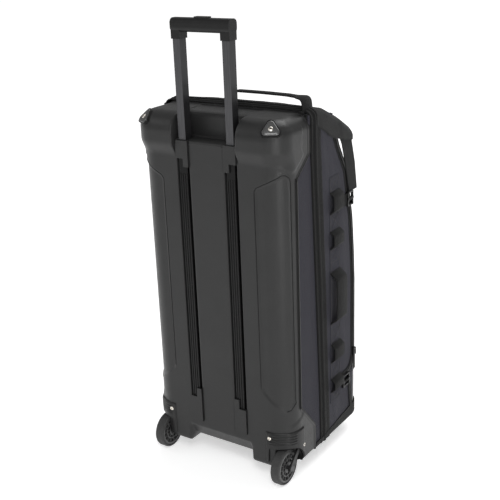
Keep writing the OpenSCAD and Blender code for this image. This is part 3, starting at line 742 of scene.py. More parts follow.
def ripple(a, b, seed):
    """Slow uneven waves between -1 and 1, the same on every run."""
    total = 0
    for k in range(1, 5):
        total = total + np.sin(a * 0.013 * k * 1.7 + b * 0.009 * k * k + seed * 2.1 * k) \
            * np.cos(b * 0.017 * k - a * 0.006 * k + seed + k) / k
    return total / 1.6


def cloth_x(y, z):
    """Half width of the cloth side at a depth and height: it fills out between its seams."""
    full = np.clip(np.sin(np.clip((y - 92) / 176, 0, 1) * math.pi), 0, 1) ** 0.7
    high = np.clip(np.sin(np.clip((z - 30) / 660, 0, 1) * math.pi), 0, 1) ** 0.5
    return HALF + 0.2 + 2.6 * full * high + 0.7 * ripple(y * 3, z, 1.0) * full


def over(y, s, lift):
    """A point on the cloth ring at a depth: s runs up the right side from the floor, over
    the top and down the left, with the corners rounded."""
    zt = crest(y)
    side = zt - TOP_R
    arc = TOP_R * math.pi / 2
    flat = HALF - TOP_R
    total = 2 * (side + arc + flat)
    right = s <= total / 2
    t = s if right else total - s
    if t < side:
        x, z, nx, nz = cloth_x(y, t), t, 1.0, 0.0
    elif t < side + arc:
        a = (t - side) / TOP_R
        x, z = flat + TOP_R * math.cos(a), side + TOP_R * math.sin(a)
        x += cloth_x(y, side) - HALF
        nx, nz = math.cos(a), math.sin(a)
    else:
        x, z, nx, nz = max(0.0, flat - (t - side - arc)), zt, 0.0, 1.0
        z += 3.0 * math.sin(math.pi / 2 * min(1, (t - side - arc) / flat)) * smooth((y - 98) / 40)
        z += 0.8 * ripple(x * 2, y * 3, 2.0) * smooth((y - 110) / 30)
    sign = 1 if right else -1
    return sign * (x + nx * lift), y, z + nz * lift


def ring_length(y):
    return 2 * (crest(y) - TOP_R + TOP_R * math.pi / 2 + HALF - TOP_R)


def cloth_side(y_low, y_high, z_low, z_high, cols, rows, lift=0.0):
    """A patch of the right side between two depths (functions of height) and two heights."""
    points = []
    for z in np.linspace(z_low, z_high, rows):
        for y in np.linspace(y_low(z), y_high(z), cols):
            limit = crest(y) - 1
            points.append((cloth_x(y, min(z, limit)) + lift, y, min(z, limit)))
    return points, quads(rows, cols)


def shell_rim_path(z_low=LOW + 3):
    """Along the shell's front edge: up the right side, over the top, down the left."""
    up = [(HALF - 1.2, edge_y(z) + 2.6, z) for z in np.linspace(z_low, TOP - 30, 150)]
    arc = [(HALF - 30 + 28.8 * math.cos(a), HEAD + 2.6, TOP - 30 + 28.8 * math.sin(a))
           for a in np.linspace(0, math.pi / 2, 12)[1:]]
    half = up + arc
    flat = [(x, HEAD + 2.6, TOP - 1.2) for x in np.linspace(HALF - 34, -(HALF - 34), 40)]
    return half + flat + [(-x, y, z) for x, y, z in reversed(half)]


piece("shell_beading", *sweep(shell_rim_path(), circle(2.9, 10), up=(0, 1, 0)), "bag", BEADING,
      ["shell_piping"], "beading")

gusset = cloth_side(lambda z: min(edge_y(z) + 3, tape_y(z) - 1), lambda z: tape_y(z) + 4,
                    LOW + 3, crest(98) - 6, 16, 130, -0.6)
for obj in pair("gusset", gusset, "bag", GUSSET, "back_gusset_", "gusset_fabric", thick=2.4):
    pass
panel = cloth_side(lambda z: tape_y(z) + TAPE_W - 5, zip_y, LOW + 6, 722, 60, 190)
for obj in pair("side_cloth", panel, "bag", SIDE, "side_panel_", "side_fabric", thick=2.6):
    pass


def edge_tape():
    """The tape sewn over the seam beside the shell, with its cord and fold."""
    across = [(0, 0), (0.4, 1.6), (1.4, 2.6), (2.6, 2.6), (3.6, 1.6), (4.2, 1.2), (8, 1.2),
              (11.5, 1.3), (12.5, 2.2), (14, 3.2), (16.5, 3.6), (19, 3.2), (20.5, 2.2),
              (21.5, 1.4), (26, 1.3),
              (31, 1.3), (36, 1.3), (37.4, 1.1), (38, 0)]
    total = ring_length(110)
    straight = TOP - TOP_CORNER
    stations = [*np.linspace(LOW + 4, straight, 120), *np.linspace(straight, total / 2, 60)[1:]]
    points = []
    for s in stations + [total - v for v in reversed(stations[:-1])]:
        t = min(s, total - s)
        start = tape_y(min(t, HEAD_Z)) + (smooth((t - HEAD_Z) / 60) * 1.5)
        for u, h in across:
            y = start + u * (1 - 0.28 * smooth((t - 700) / 60))
            share = (s / total) * ring_length(y)
            points.append(over(y, share, h))
    return points, quads(2 * len(stations) - 1, len(across))


piece("edge_tape", *edge_tape(), "bag", TAPE, ["edge_tape_left", "edge_tape_right"], "webbing",
      sharp=70)

FLAP = [(104, 26), (120, 30), (164, 44), (189, 44), (225, 34), (240, 28), (254, 22)]
COVER_END = 254


def top_cover():
    """The dark cloth over the top: its flaps hang on the sides and its front lip hangs free."""
    cols = 121
    lip = [(1.6, 0.8), (2.8, 3.0), (3.2, 6.5), (2.6, 10.5), (1.6, 14.5), (0.2, 17.5)]
    rows = [(y, 0, 0) for y in np.linspace(117, COVER_END, 66)]
    rows += [(COVER_END, ahead, down) for ahead, down in lip]
    points = []
    for y, ahead, down in rows:
        drop = np.interp(y, [p[0] for p in FLAP], [p[1] for p in FLAP])
        total = ring_length(y)
        start = crest(y) - drop
        for k, t in enumerate(np.linspace(0, 1, cols)):
            bend = 0.5 - 0.5 * math.cos(math.pi * t)
            t = 0.7 * bend + 0.3 * t
            s = start + (total - 2 * start) * t
            edge = min(k, cols - 1 - k)
            x, y1, z = over(y, s, 1.9 if edge else 0.4)
            on_top = smooth((z - crest(y) + TOP_R + 4) / TOP_R)
            points.append((x, y1 + ahead, z - down * on_top))
    return points, quads(len(rows), cols)


obj = piece("top_cover", *top_cover(), "bag", DARK, ["top_panel", "top_yoke"], "black_fabric",
            thick=1.6, sharp=60)


COVER_Y = 119.5                             # depth of the cord along the cover's back seam
cover_low = crest(119) - 29
seam = [over(COVER_Y, s, 2.6)
        for s in np.linspace(cover_low, ring_length(COVER_Y) - cover_low, 150)]
piece("cover_seam", *sweep(seam, circle(1.5, 8), up=(0, 1, 0)), "bag", BEADING, slot="black_fabric")


LID_END = 676                               # top edge of the front, under the cover


def front_plan(base, hx, n_arc=14, n_flat=41):
    """Plan of the bag's front: right corner, flat and left corner, forward of a depth."""
    inner = hx - FRONT_R
    arc = [(inner + FRONT_R * math.cos(a), base + FRONT_R * math.sin(a))
           for a in np.linspace(0, math.pi / 2, n_arc)]
    flat = [(x, base + FRONT_R) for x in np.linspace(inner, -inner, n_flat)[1:-1]]
    return arc + flat + [(-x, y) for x, y in reversed(arc)]


def fullness(x, z):
    """How far the front stands out at a point: it fills out in the middle, and ripples."""
    across, up = max(0, 1 - (x / 150) ** 2), max(0, math.sin(math.pi * (z - 100) / 560))
    return 2.2 * across * up + 0.5 * ripple(x * 2, z, 3.0) * across


def front_wall(z_low, z_high, rows, lift=0.0):
    """The cloth front between two heights, filling out a little in the middle."""
    points = []
    for t in np.linspace(0, 1, rows):
        z = z_low + (z_high - z_low) * t
        hx = cloth_x(ZIP_Y, z) - TOP_R * smooth((z - 640) / 50)
        base = zip_y(z)
        for x, y in front_plan(base, hx):
            ny = min((y - base) / FRONT_R, 1)
            nx = math.copysign(math.sqrt(max(1 - ny * ny, 0)), x)
            points.append((x + nx * lift, y + ny * (lift + fullness(x, z)), z))
    return points, quads(rows, len(front_plan(ZIP_Y, HALF)))


obj = piece("lid_front", *front_wall(HINGE_Z + 4, LID_END, 120), "front_lid", GLOSSY,
            ["lid_panel", "lid_gusset"], "tarpaulin", thick=2.4)
obj = piece("front_lower", *front_wall(LOW + 22, HINGE_Z - 1, 26), "bag", GLOSSY, ["front_border"],
            "tarpaulin", thick=2.4)
strip = piece("hinge_strip", *front_wall(HINGE_Z - 8, HINGE_Z + 10, 19, lift=1.0), None, GLOSSY,
              slot="tarpaulin", thick=0.9)
tuple(at([(0, FRONT, HINGE_Z - 4)])[0])
tuple(at([(0, FRONT, HINGE_Z + 6)])[0])
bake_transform(strip)


def seam_z(y):
    """Upper edge of the black cloth that wraps up from underneath."""
    return np.interp(y, [100, 137, 288], [48, 50, 70])


def tray():
    """The black cloth underside, wrapped up round the sides and the front."""
    r = 11
    plan = [(HALF, y) for y in np.linspace(101, ZIP_Y, 28)[:-1]]
    front = front_plan(ZIP_Y, HALF)
    full = plan + front + [(-x, y) for x, y in reversed(plan)]
    points, levels = [], list(np.linspace(0, 1, 6)) + list(1 + np.linspace(0, 1, 8)[1:])
    for level in levels:
        for x, y in full:
            ny = max(y - ZIP_Y, 0) / FRONT_R
            nx = math.copysign(math.sqrt(max(1 - ny * ny, 0)), x)
            if level <= 1:
                top, low = seam_z(y), LOW + r
                z, inset = top + (low - top) * level, -1.0
            else:
                a = (level - 1) * math.pi / 2
                z, inset = LOW + 0.6 + r - r * math.sin(a), r - r * math.cos(a) - 1.0
            points.append((x - nx * inset, y - ny * inset, z))
    n = len(full)
    faces = quads(len(levels), n)
    faces.append(tuple((len(levels) - 1) * n + k for k in reversed(range(n))))
    return points, faces


obj = piece("underside", *tray(), "bag", UNDER, ["bottom_panel"], "black_fabric", thick=2)


back = [(x, 99.8, z) for z in np.linspace(LOW + 1, 62, 8)
        for x in np.linspace(-HALF + 3, HALF - 3, 40)]
piece("underside_back", back, quads(8, 40), "bag", UNDER, slot="black_fabric", thick=1.4)


def stitches(path, out=(1, 0, 0), pitch=4.0, length=2.6, r=0.45):
    """Short raised thread dashes along a path of points."""
    path = np.array(path, float)
    gaps = lengths(path)
    parts = []
    for s in np.arange(pitch / 2, gaps[-1], pitch):
        a, b = (spot(path, gaps, s + d) for d in (-length / 2, length / 2))
        mid = (a + b) / 2 + np.array(out) * r * 0.9
        parts.append(sweep([a, mid, b], circle(r, 5), up=np.array(out, float)))
    return joined(parts)


def flat_strip(z0, z1, rows=90, cols=8):
    """The webbing sewn flat on the right side, between two heights."""
    return [(cloth_x(y, z) + 0.9, y, z) for z in np.linspace(z0, z1, rows)
            for y in np.linspace(CHAIN_Y, CHAIN_Y + WEB, cols)], quads(rows, cols)


SPANS = [(136, 166), (204, 244), (449, 485), (521, 564)]
HANDLE = (290, 400)


def arch_path(low, high, out, turn, n=26):
    """Heights and stand-off of webbing that rises off its bar tack, runs flat and returns."""
    path = []
    for t in np.linspace(0, 1, n):
        z = low + (high - low) * (t - 0.07 * math.sin(2 * math.pi * t))
        rise = smooth(min(z - low, high - z) / turn) ** 0.8
        path.append((z, out * rise + 0.9 * math.sin(math.pi * t)))
    return path


def web_loop(low, high, out, turn, t=2.0, n=26, edge=0.6):
    """A raised stretch of webbing on the side, with its long edges rounded."""
    half = WEB / 2
    base = cloth_x(CHAIN_Y + half, (low + high) / 2) + 1.2
    line = [(base + o, CHAIN_Y + half, z) for z, o in arch_path(low, high, out, turn, n)]
    section = [(-half, -t / 2 + edge), (-half + edge, -t / 2), (half - edge, -t / 2),
               (half, -t / 2 + edge), (half, t / 2 - edge), (half - edge, t / 2),
               (-half + edge, t / 2), (-half, t / 2 - edge)]
    return lofted_web(line, section)


def lofted_web(line, section):
    """Webbing whose width lies along y, carried along a line in the x-z plane."""
    line = np.array(line, float)
    along = unit_rows(np.gradient(line, axis=0))
    out = np.stack([along[:, 2], np.zeros(len(line)), -along[:, 0]], 1)
    s = np.array(section, float)
    points = line[:, None] + np.array([0, 1, 0]) * s[:, :1] + out[:, None] * s[:, 1:]
    n = len(s)
    faces = quads(len(line), n, ring=True)
    faces += end_faces(len(line), n)
    return points.reshape(-1, 3), faces


ends = [SPANS[0][0] - 26] + [z for span_ends in SPANS for z in span_ends] + [SPANS[3][1] + 30]
pair("webbing_flat", flat_strip(ends[0], ends[-1]), "bag", SIDE, slot="webbing", thick=1.2)
loops = joined([web_loop(low, high, 8.6, 9) for low, high in SPANS])
pair("webbing_loops", loops, "bag", WEBBING, "webbing_chain_", "webbing", sharp=50)
grab = web_loop(*HANDLE, 14, 15, t=3.2, n=48)
pair("side_handle_web", grab, "bag", WEBBING, "side_handle_", "webbing", sharp=50)


def box_stitch(a, b):
    """Stitch lines of (y, z) over the sewn webbing between two heights: a box, crossed whole
    where it is short and at both its ends where it is long."""
    y0, y1 = CHAIN_Y + 3, CHAIN_Y + WEB - 3
    lines = [[(y0, a), (y1, a), (y1, b), (y0, b), (y0, a)]]
    if b - a < 60:
        return lines + [[(y0, a), (y1, b)], [(y1, a), (y0, b)]]
    for c, d in ((a, a + 26), (b - 26, b)):
        lines += [[(y0, c), (y1, d)], [(y1, c), (y0, d)], [(y0, c), (y1, c)], [(y0, d), (y1, d)]]
    return lines


threads = []
for low, high in zip(ends[::2], ends[1::2]):
    for line in box_stitch(low + 3, high - 3):
        dense = [(ya + (yb - ya) * t, za + (zb - za) * t)
                 for (ya, za), (yb, zb) in zip(line, line[1:]) for t in np.linspace(0, 1, 8)]
        threads.append(stitches([(cloth_x(y, z) + 1.0, y, z) for y, z in dense]))
pair("webbing_stitching", joined(threads), "bag", THREAD, slot="webbing")

# ---- straps, zips and pocket ----


def ribbon(left, right, t=1.8, rows=30, cols=7):
    """A flat strap between two edge lines, given as lists of points."""
    left, right = np.array(left, float), np.array(right, float)

    def spaced(line):
        gaps = lengths(line)
        return spot(line, gaps, np.linspace(0, gaps[-1], rows))

    a, b = spaced(left), spaced(right)
    along = np.gradient((a + b) / 2, axis=0)
    normal = unit_rows(np.cross(b - a, along))
    points = np.array([p + (q - p) * u for p, q in zip(a, b) for u in np.linspace(0, 1, cols)])
    n = len(points)
    back = points - np.repeat(normal, cols, 0) * t
    faces = quads(rows, cols)
    faces += [tuple(reversed([i + n for i in f])) for f in faces]
    rim = ([(0, j) for j in range(cols)] + [(i, cols - 1) for i in range(1, rows)]
           + [(rows - 1, j) for j in range(cols - 2, -1, -1)]
           + [(i, 0) for i in range(rows - 2, 0, -1)])
    ids = [i * cols + j for i, j in rim]
    faces += [(ids[k], ids[(k + 1) % len(ids)], ids[(k + 1) % len(ids)] + n, ids[k] + n)
              for k in range(len(ids))]
    return np.concatenate([points, back]), faces


def bars(*boxes, r=1.2):
    """Several rounded bars joined as one part."""
    return joined([rounded_box(low, high, r) for low, high in boxes])


def buckle(y0, y1, z0, z1, x0, deep=5.5):
    """A ladder buckle: a frame of bars round two slots, with a ribbed tongue."""
    w = 3.4
    mid = (z0 + z1) / 2
    parts = [((x0, y0, z0), (x0 + deep, y0 + w, z1)), ((x0, y1 - w, z0), (x0 + deep, y1, z1)),
             ((x0, y0, z0), (x0 + deep * 0.8, y1, z0 + w)), ((x0, y0, z1 - w), (x0 + deep, y1, z1)),
             ((x0 + 0.5, y0, mid - 2), (x0 + deep + 1, y1, mid + 2.6))]
    parts += [((x0 + deep - 0.5, y0 + w + 1, mid - 1.2 + k),
               (x0 + deep + 1.8, y1 - w - 1, mid - 0.2 + k))
              for k in (-1, 1, 3)]
    return bars(*parts, r=0.9)


STRAP_TOP = 668
back_edge = [(164.6, 206, STRAP_TOP), (166.6, 214, 650), (168.5, 226, 604), (168.6, 240, 548)]
fore_edge = [(163.6, 248, STRAP_TOP), (165.0, 256, 650), (167.6, 265, 604), (168.2, 273, 548)]
straps = [ribbon(back_edge, fore_edge, rows=40),
          ribbon([(169.4, 204, 544), (169.4, 233, 546)],
                 [(169.4, 204, 522), (169.4, 233, 521)], rows=10),
          ribbon([(167.6, 238, 128), (167.2, 247, 66)],
                 [(167.6, 248, 126), (167.2, 257, 66)], t=1.6, rows=16)]
pair("corner_straps", joined(straps), "bag", WEBBING, "corner_straps", "webbing", sharp=60)
buckles = joined([buckle(231, 254, 519, 549, 167.2), buckle(212, 240, 124, 152, 166.4)])
pair("strap_buckles", buckles, "bag", BLACK, "strap_buckles", "buckle_plastic")


def front_surface(x, z, lift=0.0):
    """A point on the bag's front, lift millimetres proud of it."""
    return (x, zip_y(z) + FRONT_R + fullness(x, z) + lift, z)


def corner_patch(z0, z1, rows=14, cols=22, lift=1.6):
    """The patch that holds the strap to the front corner."""
    points = []
    for z in np.linspace(z0, z1, rows):
        base, hx = zip_y(z), cloth_x(ZIP_Y, z)
        for t in np.linspace(0.06, 1.0, cols):
            a = t * math.pi / 2
            points.append((hx - FRONT_R + (FRONT_R + lift) * math.cos(a),
                           base + (FRONT_R + lift) * math.sin(a), z))
        for x in np.linspace(hx - 28, hx - 62, 8):
            points.append(front_surface(x, z, 1.8))
    return points, quads(rows, cols + 8)


pair("corner_patch", corner_patch(520, 548), "front_lid", WEB_ACROSS, slot="webbing", thick=1.2)


def zip_line(offset):
    """Points down the right zip at a distance from its middle, forward positive."""
    z = np.linspace(668, 196, 110)
    y = zip_y(z)
    x = [cloth_x(b, a) + 1.0 for a, b in zip(z, y)]
    return [(c, b + offset, a) for a, b, c in zip(z, y, x)]


def zip_foot(offset):
    """The zip's lower end, which curves back towards the wheel."""
    y = np.array([262, 261.4, 258, 253, 246, 236, 224, 212])
    z = np.array([196, 188, 174, 163, 156.5, 153.4, 152.3, 152])
    line = spot(np.stack([y, z], 1), np.linspace(0, 1, 8), np.linspace(0, 1, 40))
    for _ in range(6):
        line[1:-1] = (line[:-2] + line[1:-1] * 2 + line[2:]) / 4
    along = unit_rows(np.gradient(line, axis=0))
    normal = np.stack([-along[:, 1], along[:, 0]], 1)
    line = line + normal * offset
    return [(cloth_x(a, b) + 1.0, a, b) for a, b in line]


def teeth(path, pitch=2.4, lean=0.0):
    """A row of small zip teeth along a path on the right side."""
    path = np.array(path, float)
    gaps = lengths(path)
    parts = []
    w, d, h = 1.5, 2.0, 1.3
    unit = np.array([(a, b, c) for a in (0, w) for b in (-d / 2, d / 2) for c in (-h / 2, h / 2)])
    box = [(0, 1, 3, 2), (4, 6, 7, 5), (0, 4, 5, 1), (2, 3, 7, 6), (0, 2, 6, 4), (1, 5, 7, 3)]
    for s in np.arange(pitch / 2 + lean, gaps[-1], pitch):
        p, q = (spot(path, gaps, s + d) for d in (-0.4, 0.4))
        run = unit_rows([q - p])[0]
        across = np.cross(run, (1, 0, 0))
        turn = np.stack([np.array([1.0, 0, 0]), across, run])
        parts.append(((unit @ turn) + (p + q) / 2, box))
    return joined(parts)


def tape_strip(line, low, high):
    """A strip of zip tape between two offsets of a zip line."""
    return ribbon(line(low), line(high), t=0.8, rows=90, cols=4)


foot_tape = ribbon(zip_foot(-8), zip_foot(8), t=0.8, rows=40, cols=4)
bag_tape = joined([tape_strip(zip_line, -0.3, -8.5), foot_tape])
lid_tape = tape_strip(zip_line, 8.5, 0.3)
bag_teeth = joined([teeth(zip_line(-1.0)), teeth(zip_foot(0.9)), teeth(zip_foot(-0.9), lean=1.2)])
lid_teeth = teeth(zip_line(1.0), lean=1.2)
pair("zip_tape", bag_tape, "bag", ZIP_TAPE, "bag_zip_tape", "zip_black")
pair("lid_zip_tape", lid_tape, "front_lid", ZIP_TAPE, "lid_zip_tape", "zip_black")
pair("zip_teeth", bag_teeth, "bag", BLACK, slot="zip_black")
pair("lid_zip_teeth", lid_teeth, "front_lid", BLACK, slot="zip_black")


def on_front(part_points, lift):
    """Lays points given as (x, z, proud) on the front surface."""
    return [front_surface(x, z, lift + h) for x, z, h in part_points]


def pocket():
    """The flat pocket on the front: a raised panel with a rounded edge."""
    x1, z0, z1 = HALF - 30, HINGE_Z + 40, 410
    rows, cols = 40, 44
    points = []
    for z in np.linspace(z0, z1, rows):
        for x in np.linspace(-x1, x1, cols):
            d = min(x1 - abs(x), z - z0, z1 - z)
            h = 4.6 * smooth(d / 9) + 0.5 * ripple(x * 3, z * 2, 5.0) * smooth(d / 30)
            points.append((x, z, h - 1.0 * (d < 0.5)))
    return on_front(points, 1.0), quads(rows, cols)


obj = piece("front_pocket", *pocket(), "front_lid", GLOSSY, ["lid_pocket"], "tarpaulin", thick=1.4)
x1, z0, z1 = HALF - 30, HINGE_Z + 40, 410    # the pocket's half width, bottom and top
loop = ([(x, z0, 0) for x in np.linspace(-x1, x1, 50)]
        + [(x1, z, 0) for z in np.linspace(z0, z1, 40)[1:]]
        + [(x, z1, 0) for x in np.linspace(x1, -x1, 50)[1:]]
        + [(-x1, z, 0) for z in np.linspace(z1, z0, 40)[1:-1]])
piping = sweep(on_front(loop, 1.6), circle(1.7, 8), closed=True, up=(0, 1, 0))
piece("pocket_piping", *piping, "front_lid", BEADING, slot="beading")
POCKET_ZIP_Z = 440
tape_edges = ([front_surface(x, POCKET_ZIP_Z + d, 1.2) for x in np.linspace(-x1, x1, 60)]
              for d in (-13, 13))
piece("pocket_zip_tape", *ribbon(*tape_edges, t=0.9, rows=60, cols=5), "front_lid", ZIP_TAPE,
      slot="zip_black")
coil = [front_surface(x, POCKET_ZIP_Z, 1.6) for x in np.arange(-x1, x1, 0.9)]
coil = [(x, y + 0.5 * math.sin(k * 1.9), z + 1.5 * math.sin(k * 1.9 + 1.2))
        for k, (x, y, z) in enumerate(coil)]
piece("pocket_zip_coil", *sweep(coil, circle(0.6, 5), up=(0, 1, 0)), "front_lid", BLACK,
      slot="zip_black")
face_y = front_surface(x1 - 8, POCKET_ZIP_Z)[1]
# The slider's body, its bridge and its pull, each as its sides in from the pocket's edge, its
# depths in front of the face, its heights about the zip, and its rounding.
slider = [rounded_box((x1 - a, face_y + c, POCKET_ZIP_Z + e),
                      (x1 - b, face_y + d, POCKET_ZIP_Z + f), r)
          for a, b, c, d, e, f, r in ((15, 1, 1.4, 5, -4.5, 4.5, 1.3),
                                      (11, 4, 4.2, 6.6, -1.6, 1.6, 0.8),
                                      (10.4, 4.6, 5.0, 6.9, -25, 1, 0.8))]
piece("pocket_slider", *joined(slider), "pocket_zip_slider", BLACK, ["pocket_zip_slider"],
      "zip_black")


seam = [front_surface(x, z1 - 7, 6.0) for x in np.linspace(-x1 + 8, x1 - 8, 60)]
piece("pocket_stitching", *stitches(seam, out=(0, 1, 0)), "front_lid", THREAD, slot="webbing")


def carry_strap():
    """The strap handle on top: narrow, with a wide sewn foot at the bag's edge."""
    line = [(-15, 730), (-13.6, 742), (-11.5, 751), (-6, 756.5), (2, 758.2), (60, 758.3),
            (112, 757.4), (126, 756.2), (137, 755.6), (144, 755.2), (148.6, 753.0),
            (151.0, 748.4), (152.0, 742),
            (152.6, 735), (152.8, 727)]
    gaps = lengths(line)
    centre = spot(line, gaps, np.linspace(0, gaps[-1], 170))
    for _ in range(3):
        centre[1:-1] = (centre[:-2] + 2 * centre[1:-1] + centre[2:]) / 4
    along = unit_rows(np.gradient(centre, axis=0))
    points, cols = [], 8
    for (a, b), (dx, dz) in zip(centre, along):
        wide = smooth((a - 128) / 14)
        half, t = 8.2 + 10.2 * wide, 3.6 - 1.6 * wide
        ring = [(-half, 0), (-half + 1, t / 2), (0, t / 2 + 0.3), (half - 1, t / 2), (half, 0),
                (half - 1, -t / 2), (0, -t / 2), (-half + 1, -t / 2)]
        points += [(a - dz * o, 110 + u, b + dx * o) for u, o in ring]
    faces = quads(len(centre), cols, ring=True)
    faces += end_faces(len(centre), cols)
    return points, faces


piece("top_handle_strap", *carry_strap(), "bag", HANDLE_WEB, ["top_handle"], "webbing", sharp=50)


def lining():
    """The cloth that hangs inside in front of the shell and its channels."""
    rows, cols = 60, 30
    points = []
    for z in np.linspace(58, 668, rows):
        for x in np.linspace(-150, 150, cols):
            sag = 3.0 * math.cos(math.pi * x / 320) * ripple(x * 2, z * 1.4, 7.0)
            points.append((x, 103 + 0.6 * sag, z))
    return points, quads(rows, cols)


obj = piece("back_lining", *lining(), "bag", LINING, slot="side_fabric", thick=0.8)

# ---- hard parts ----


def finish_node(material, *names, width=0.35):
    """Gives CAD nodes their material and softens their edges."""
    for name in names:
        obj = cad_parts[name]
        obj.data.materials.clear()
        obj.data.materials.append(material)
        obj.data.shade_smooth()
        obj.data.set_sharp_from_angle(angle=math.radians(30))
        add = obj.modifiers.new("edges", "BEVEL")
        add.width, add.segments, add.limit_method = width * MM, 2, "ANGLE"
        add.angle_limit = math.radians(30)
        add.harden_normals = True


def both(stem):
    return stem + "_left", stem + "_right"


finish_node(TUBE, *both("outer_tube"))
finish_node(COLLAR, *both("tube_collar"), *both("tube_clip"), width=0.7)
finish_node(PLATE, *both("axle_brace"), width=0.5)
finish_node(TREAD, *both("wheel_tread"), width=0.8)
finish_node(STEEL, "foot_screws", *both("lock_pin"))
finish_node(AXLE, "wheel_axles", *both("wheel_bearings"))
finish_node(FOOT_RUBBER, "stand_feet", width=1.0)
finish_node(LEG, *both("leg"), width=0.8)
finish_node(BLACK, "leg_plugs", "zip_slider", "zip_pull")
finish_node(GRIP, "grip", width=0.8)
finish_node(BUTTON, "release_button", width=0.6)
finish_node(BOARD, "base_board", width=1.0)


def star_screw(r, high):
    """A domed screw head with a six-lobed socket, its axis along x."""
    n = 48
    rings = [(-3.0, 1.0), (0.0, 1.0), (high * 0.55, 0.94), (high * 0.9, 0.78), (high, 0.56),
             (high, 0.50)]
    points = [(x, r * k * math.cos(math.tau * j / n), r * k * math.sin(math.tau * j / n))
              for x, k in rings for j in range(n)]
    for x, k in ((high, 0.47), (high - 1.4, 0.44), (high - 1.5, 0.02)):
        for j in range(n):
            a = math.tau * j / n
            lobe = r * k * (1 - 0.17 * (0.5 + 0.5 * math.cos(6 * a)))
            points.append((x, lobe * math.cos(a), lobe * math.sin(a)))
    return points, quads(len(rings) + 3, n, ring=True)


def facing(normal):
    """A turn that takes the x axis to a direction."""
    x = Vector(normal).normalized()
    y = Vector((0, 0, 1)).cross(x).normalized()
    return Matrix((x, y, x.cross(y))).transposed()


def screws(node, normals, r=4.4, high=1.6):
    """Star screws in place of a CAD node's plain ones: on each side, the upper group of points
    faces the first normal and the lower group the second."""
    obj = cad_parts[node]
    co = np.array([v.co for v in obj.data.vertices]) / MM
    co[:, 1] -= BACK / MM
    parts = []
    for sx in (1, -1):
        for group, direction in zip(split_far(co[co[:, 0] * sx > 0]), normals):
            n = Vector((direction[0] * sx, direction[1], direction[2])).normalized()
            depth = (group @ np.array(n)).max()
            mid = (group.max(0) + group.min(0)) / 2
            mid = mid + np.array(n) * (depth - mid @ np.array(n) - high * 0.7)
            parts.append(moved(turned(star_screw(r, high), facing(n)), mid))
    return joined(parts)


def split_far(points):
    """Two groups of points, parted at the widest gap in height."""
    z = np.sort(points[:, 2])
    cut = np.argmax(np.diff(z))
    level = (z[cut] + z[cut + 1]) / 2
    return [points[points[:, 2] > level], points[points[:, 2] <= level]]


def triangle(size, corner, n=12):
    """Outline of a triangle with rounded corners, one corner up, as (across, up) points."""
    points = []
    for k in range(3):
        a = math.pi / 2 + math.tau * k / 3
        cx, cy = (size - corner) * math.cos(a), (size - corner) * math.sin(a)
        points += [(cx + corner * math.cos(a + b), cy + corner * math.sin(a + b))
                   for b in np.linspace(-math.pi / 3, math.pi / 3, n)]
    return points


def dome(outline, levels):
    """Rings of an outline at (height, share of its size), closed on top, its axis along x."""
    points = [(h, -u * k, v * k) for h, k in levels for u, v in outline]
    n = len(outline)
    return points, quads(len(levels), n, ring=True) + end_faces(len(levels), n)[1:]


def on_shell(point, normal):
    """Where a line against a normal meets the shell's visible skin."""
    start, n = Vector(at([point])[0]), Vector(normal).normalized()
    hit, where, _, _ = SHELL_PIECE.ray_cast(start + n * 0.03, -n)
    where = where if hit else start
    return Vector((where.x / MM, (where.y - BACK) / MM, where.z / MM))


CAP_NORMAL = Vector((0.383, -0.663, 0.643)).normalized()
cap_at = on_shell((142.5, 0, 719.5), CAP_NORMAL)
turn = facing(CAP_NORMAL)
rim = dome(triangle(19.5, 8), [(-4, 1.0), (0.9, 1.0), (1.3, 0.98), (1.3, 0.93), (0.2, 0.9)])
cap = dome(triangle(17.2, 7), [(-3, 1.0), (1.6, 1.0), (2.6, 0.95), (3.1, 0.84), (3.3, 0.6),
                               (3.4, 0.3)])
screw = moved(turned(star_screw(4.6, 1.6), turn), cap_at + CAP_NORMAL * 3.2)
cap, rim = (moved(turned(part, turn), cap_at) for part in (cap, rim))
pair("corner_pad", cap, "bag", CAP, "corner_cap_", "cap_plastic")
# painted shade: a near-black rim under the pad, standing for the shadowed gap round it
pair("corner_pad_shade_rim", rim, "bag", SHADE_BLACK, slot="cap_plastic")
pair("corner_screw", screw, "bag", STEEL, "corner_screws", "steel")
piece("plate_screw_heads", *screws("housing_screws", [(0, -1, 0), (1, 0, 0)]), "bag", STEEL,
      ["housing_screws"], "steel")


def wheel_disc():
    """The open wheel centre: two rings of spokes between hoops, on a thin web."""
    x0, x1 = -9.2, 9.2
    hoops = [(8.2, 10.8), (17.2, 19.2), (27.4, 31.5)]
    parts = [revolve([(x0, a), (x0, b), (x1, b), (x1, a), (x0, a)], 72) for a, b in hoops]
    parts.append(revolve([(-2.5, 9), (-2.5, 29), (2.5, 29), (2.5, 9)], 72))
    for count, low, high, wide, offset in ((10, 10, 18, 1.7, 0.0), (14, 18.6, 28.2, 1.7, 0.2)):
        for k in range(count):
            a = math.tau * (k + offset) / count
            box = rounded_box((x0 + 0.8, -wide / 2, low), (x1 - 0.8, wide / 2, high), 0.5)
            parts.append(turned(box, Matrix.Rotation(a, 3, "X")))
    return joined(parts)


# painted shade: a near-black disc over the wheel's web, darkening the spaces between the spokes
web = revolve([(-3.2, 9), (-3.2, 29), (3.2, 29), (3.2, 9)], 72)
hub, web = (moved(part, (WHEEL_X, AXLE_Y, WHEEL_R)) for part in (wheel_disc(), web))
pair("wheel_centre", hub, "wheel_", SPOKE, "wheel_hub_", "wheel_plastic")
pair("wheel_shade_disc", web, "wheel_", SHADE_BLACK, slot="wheel_plastic")


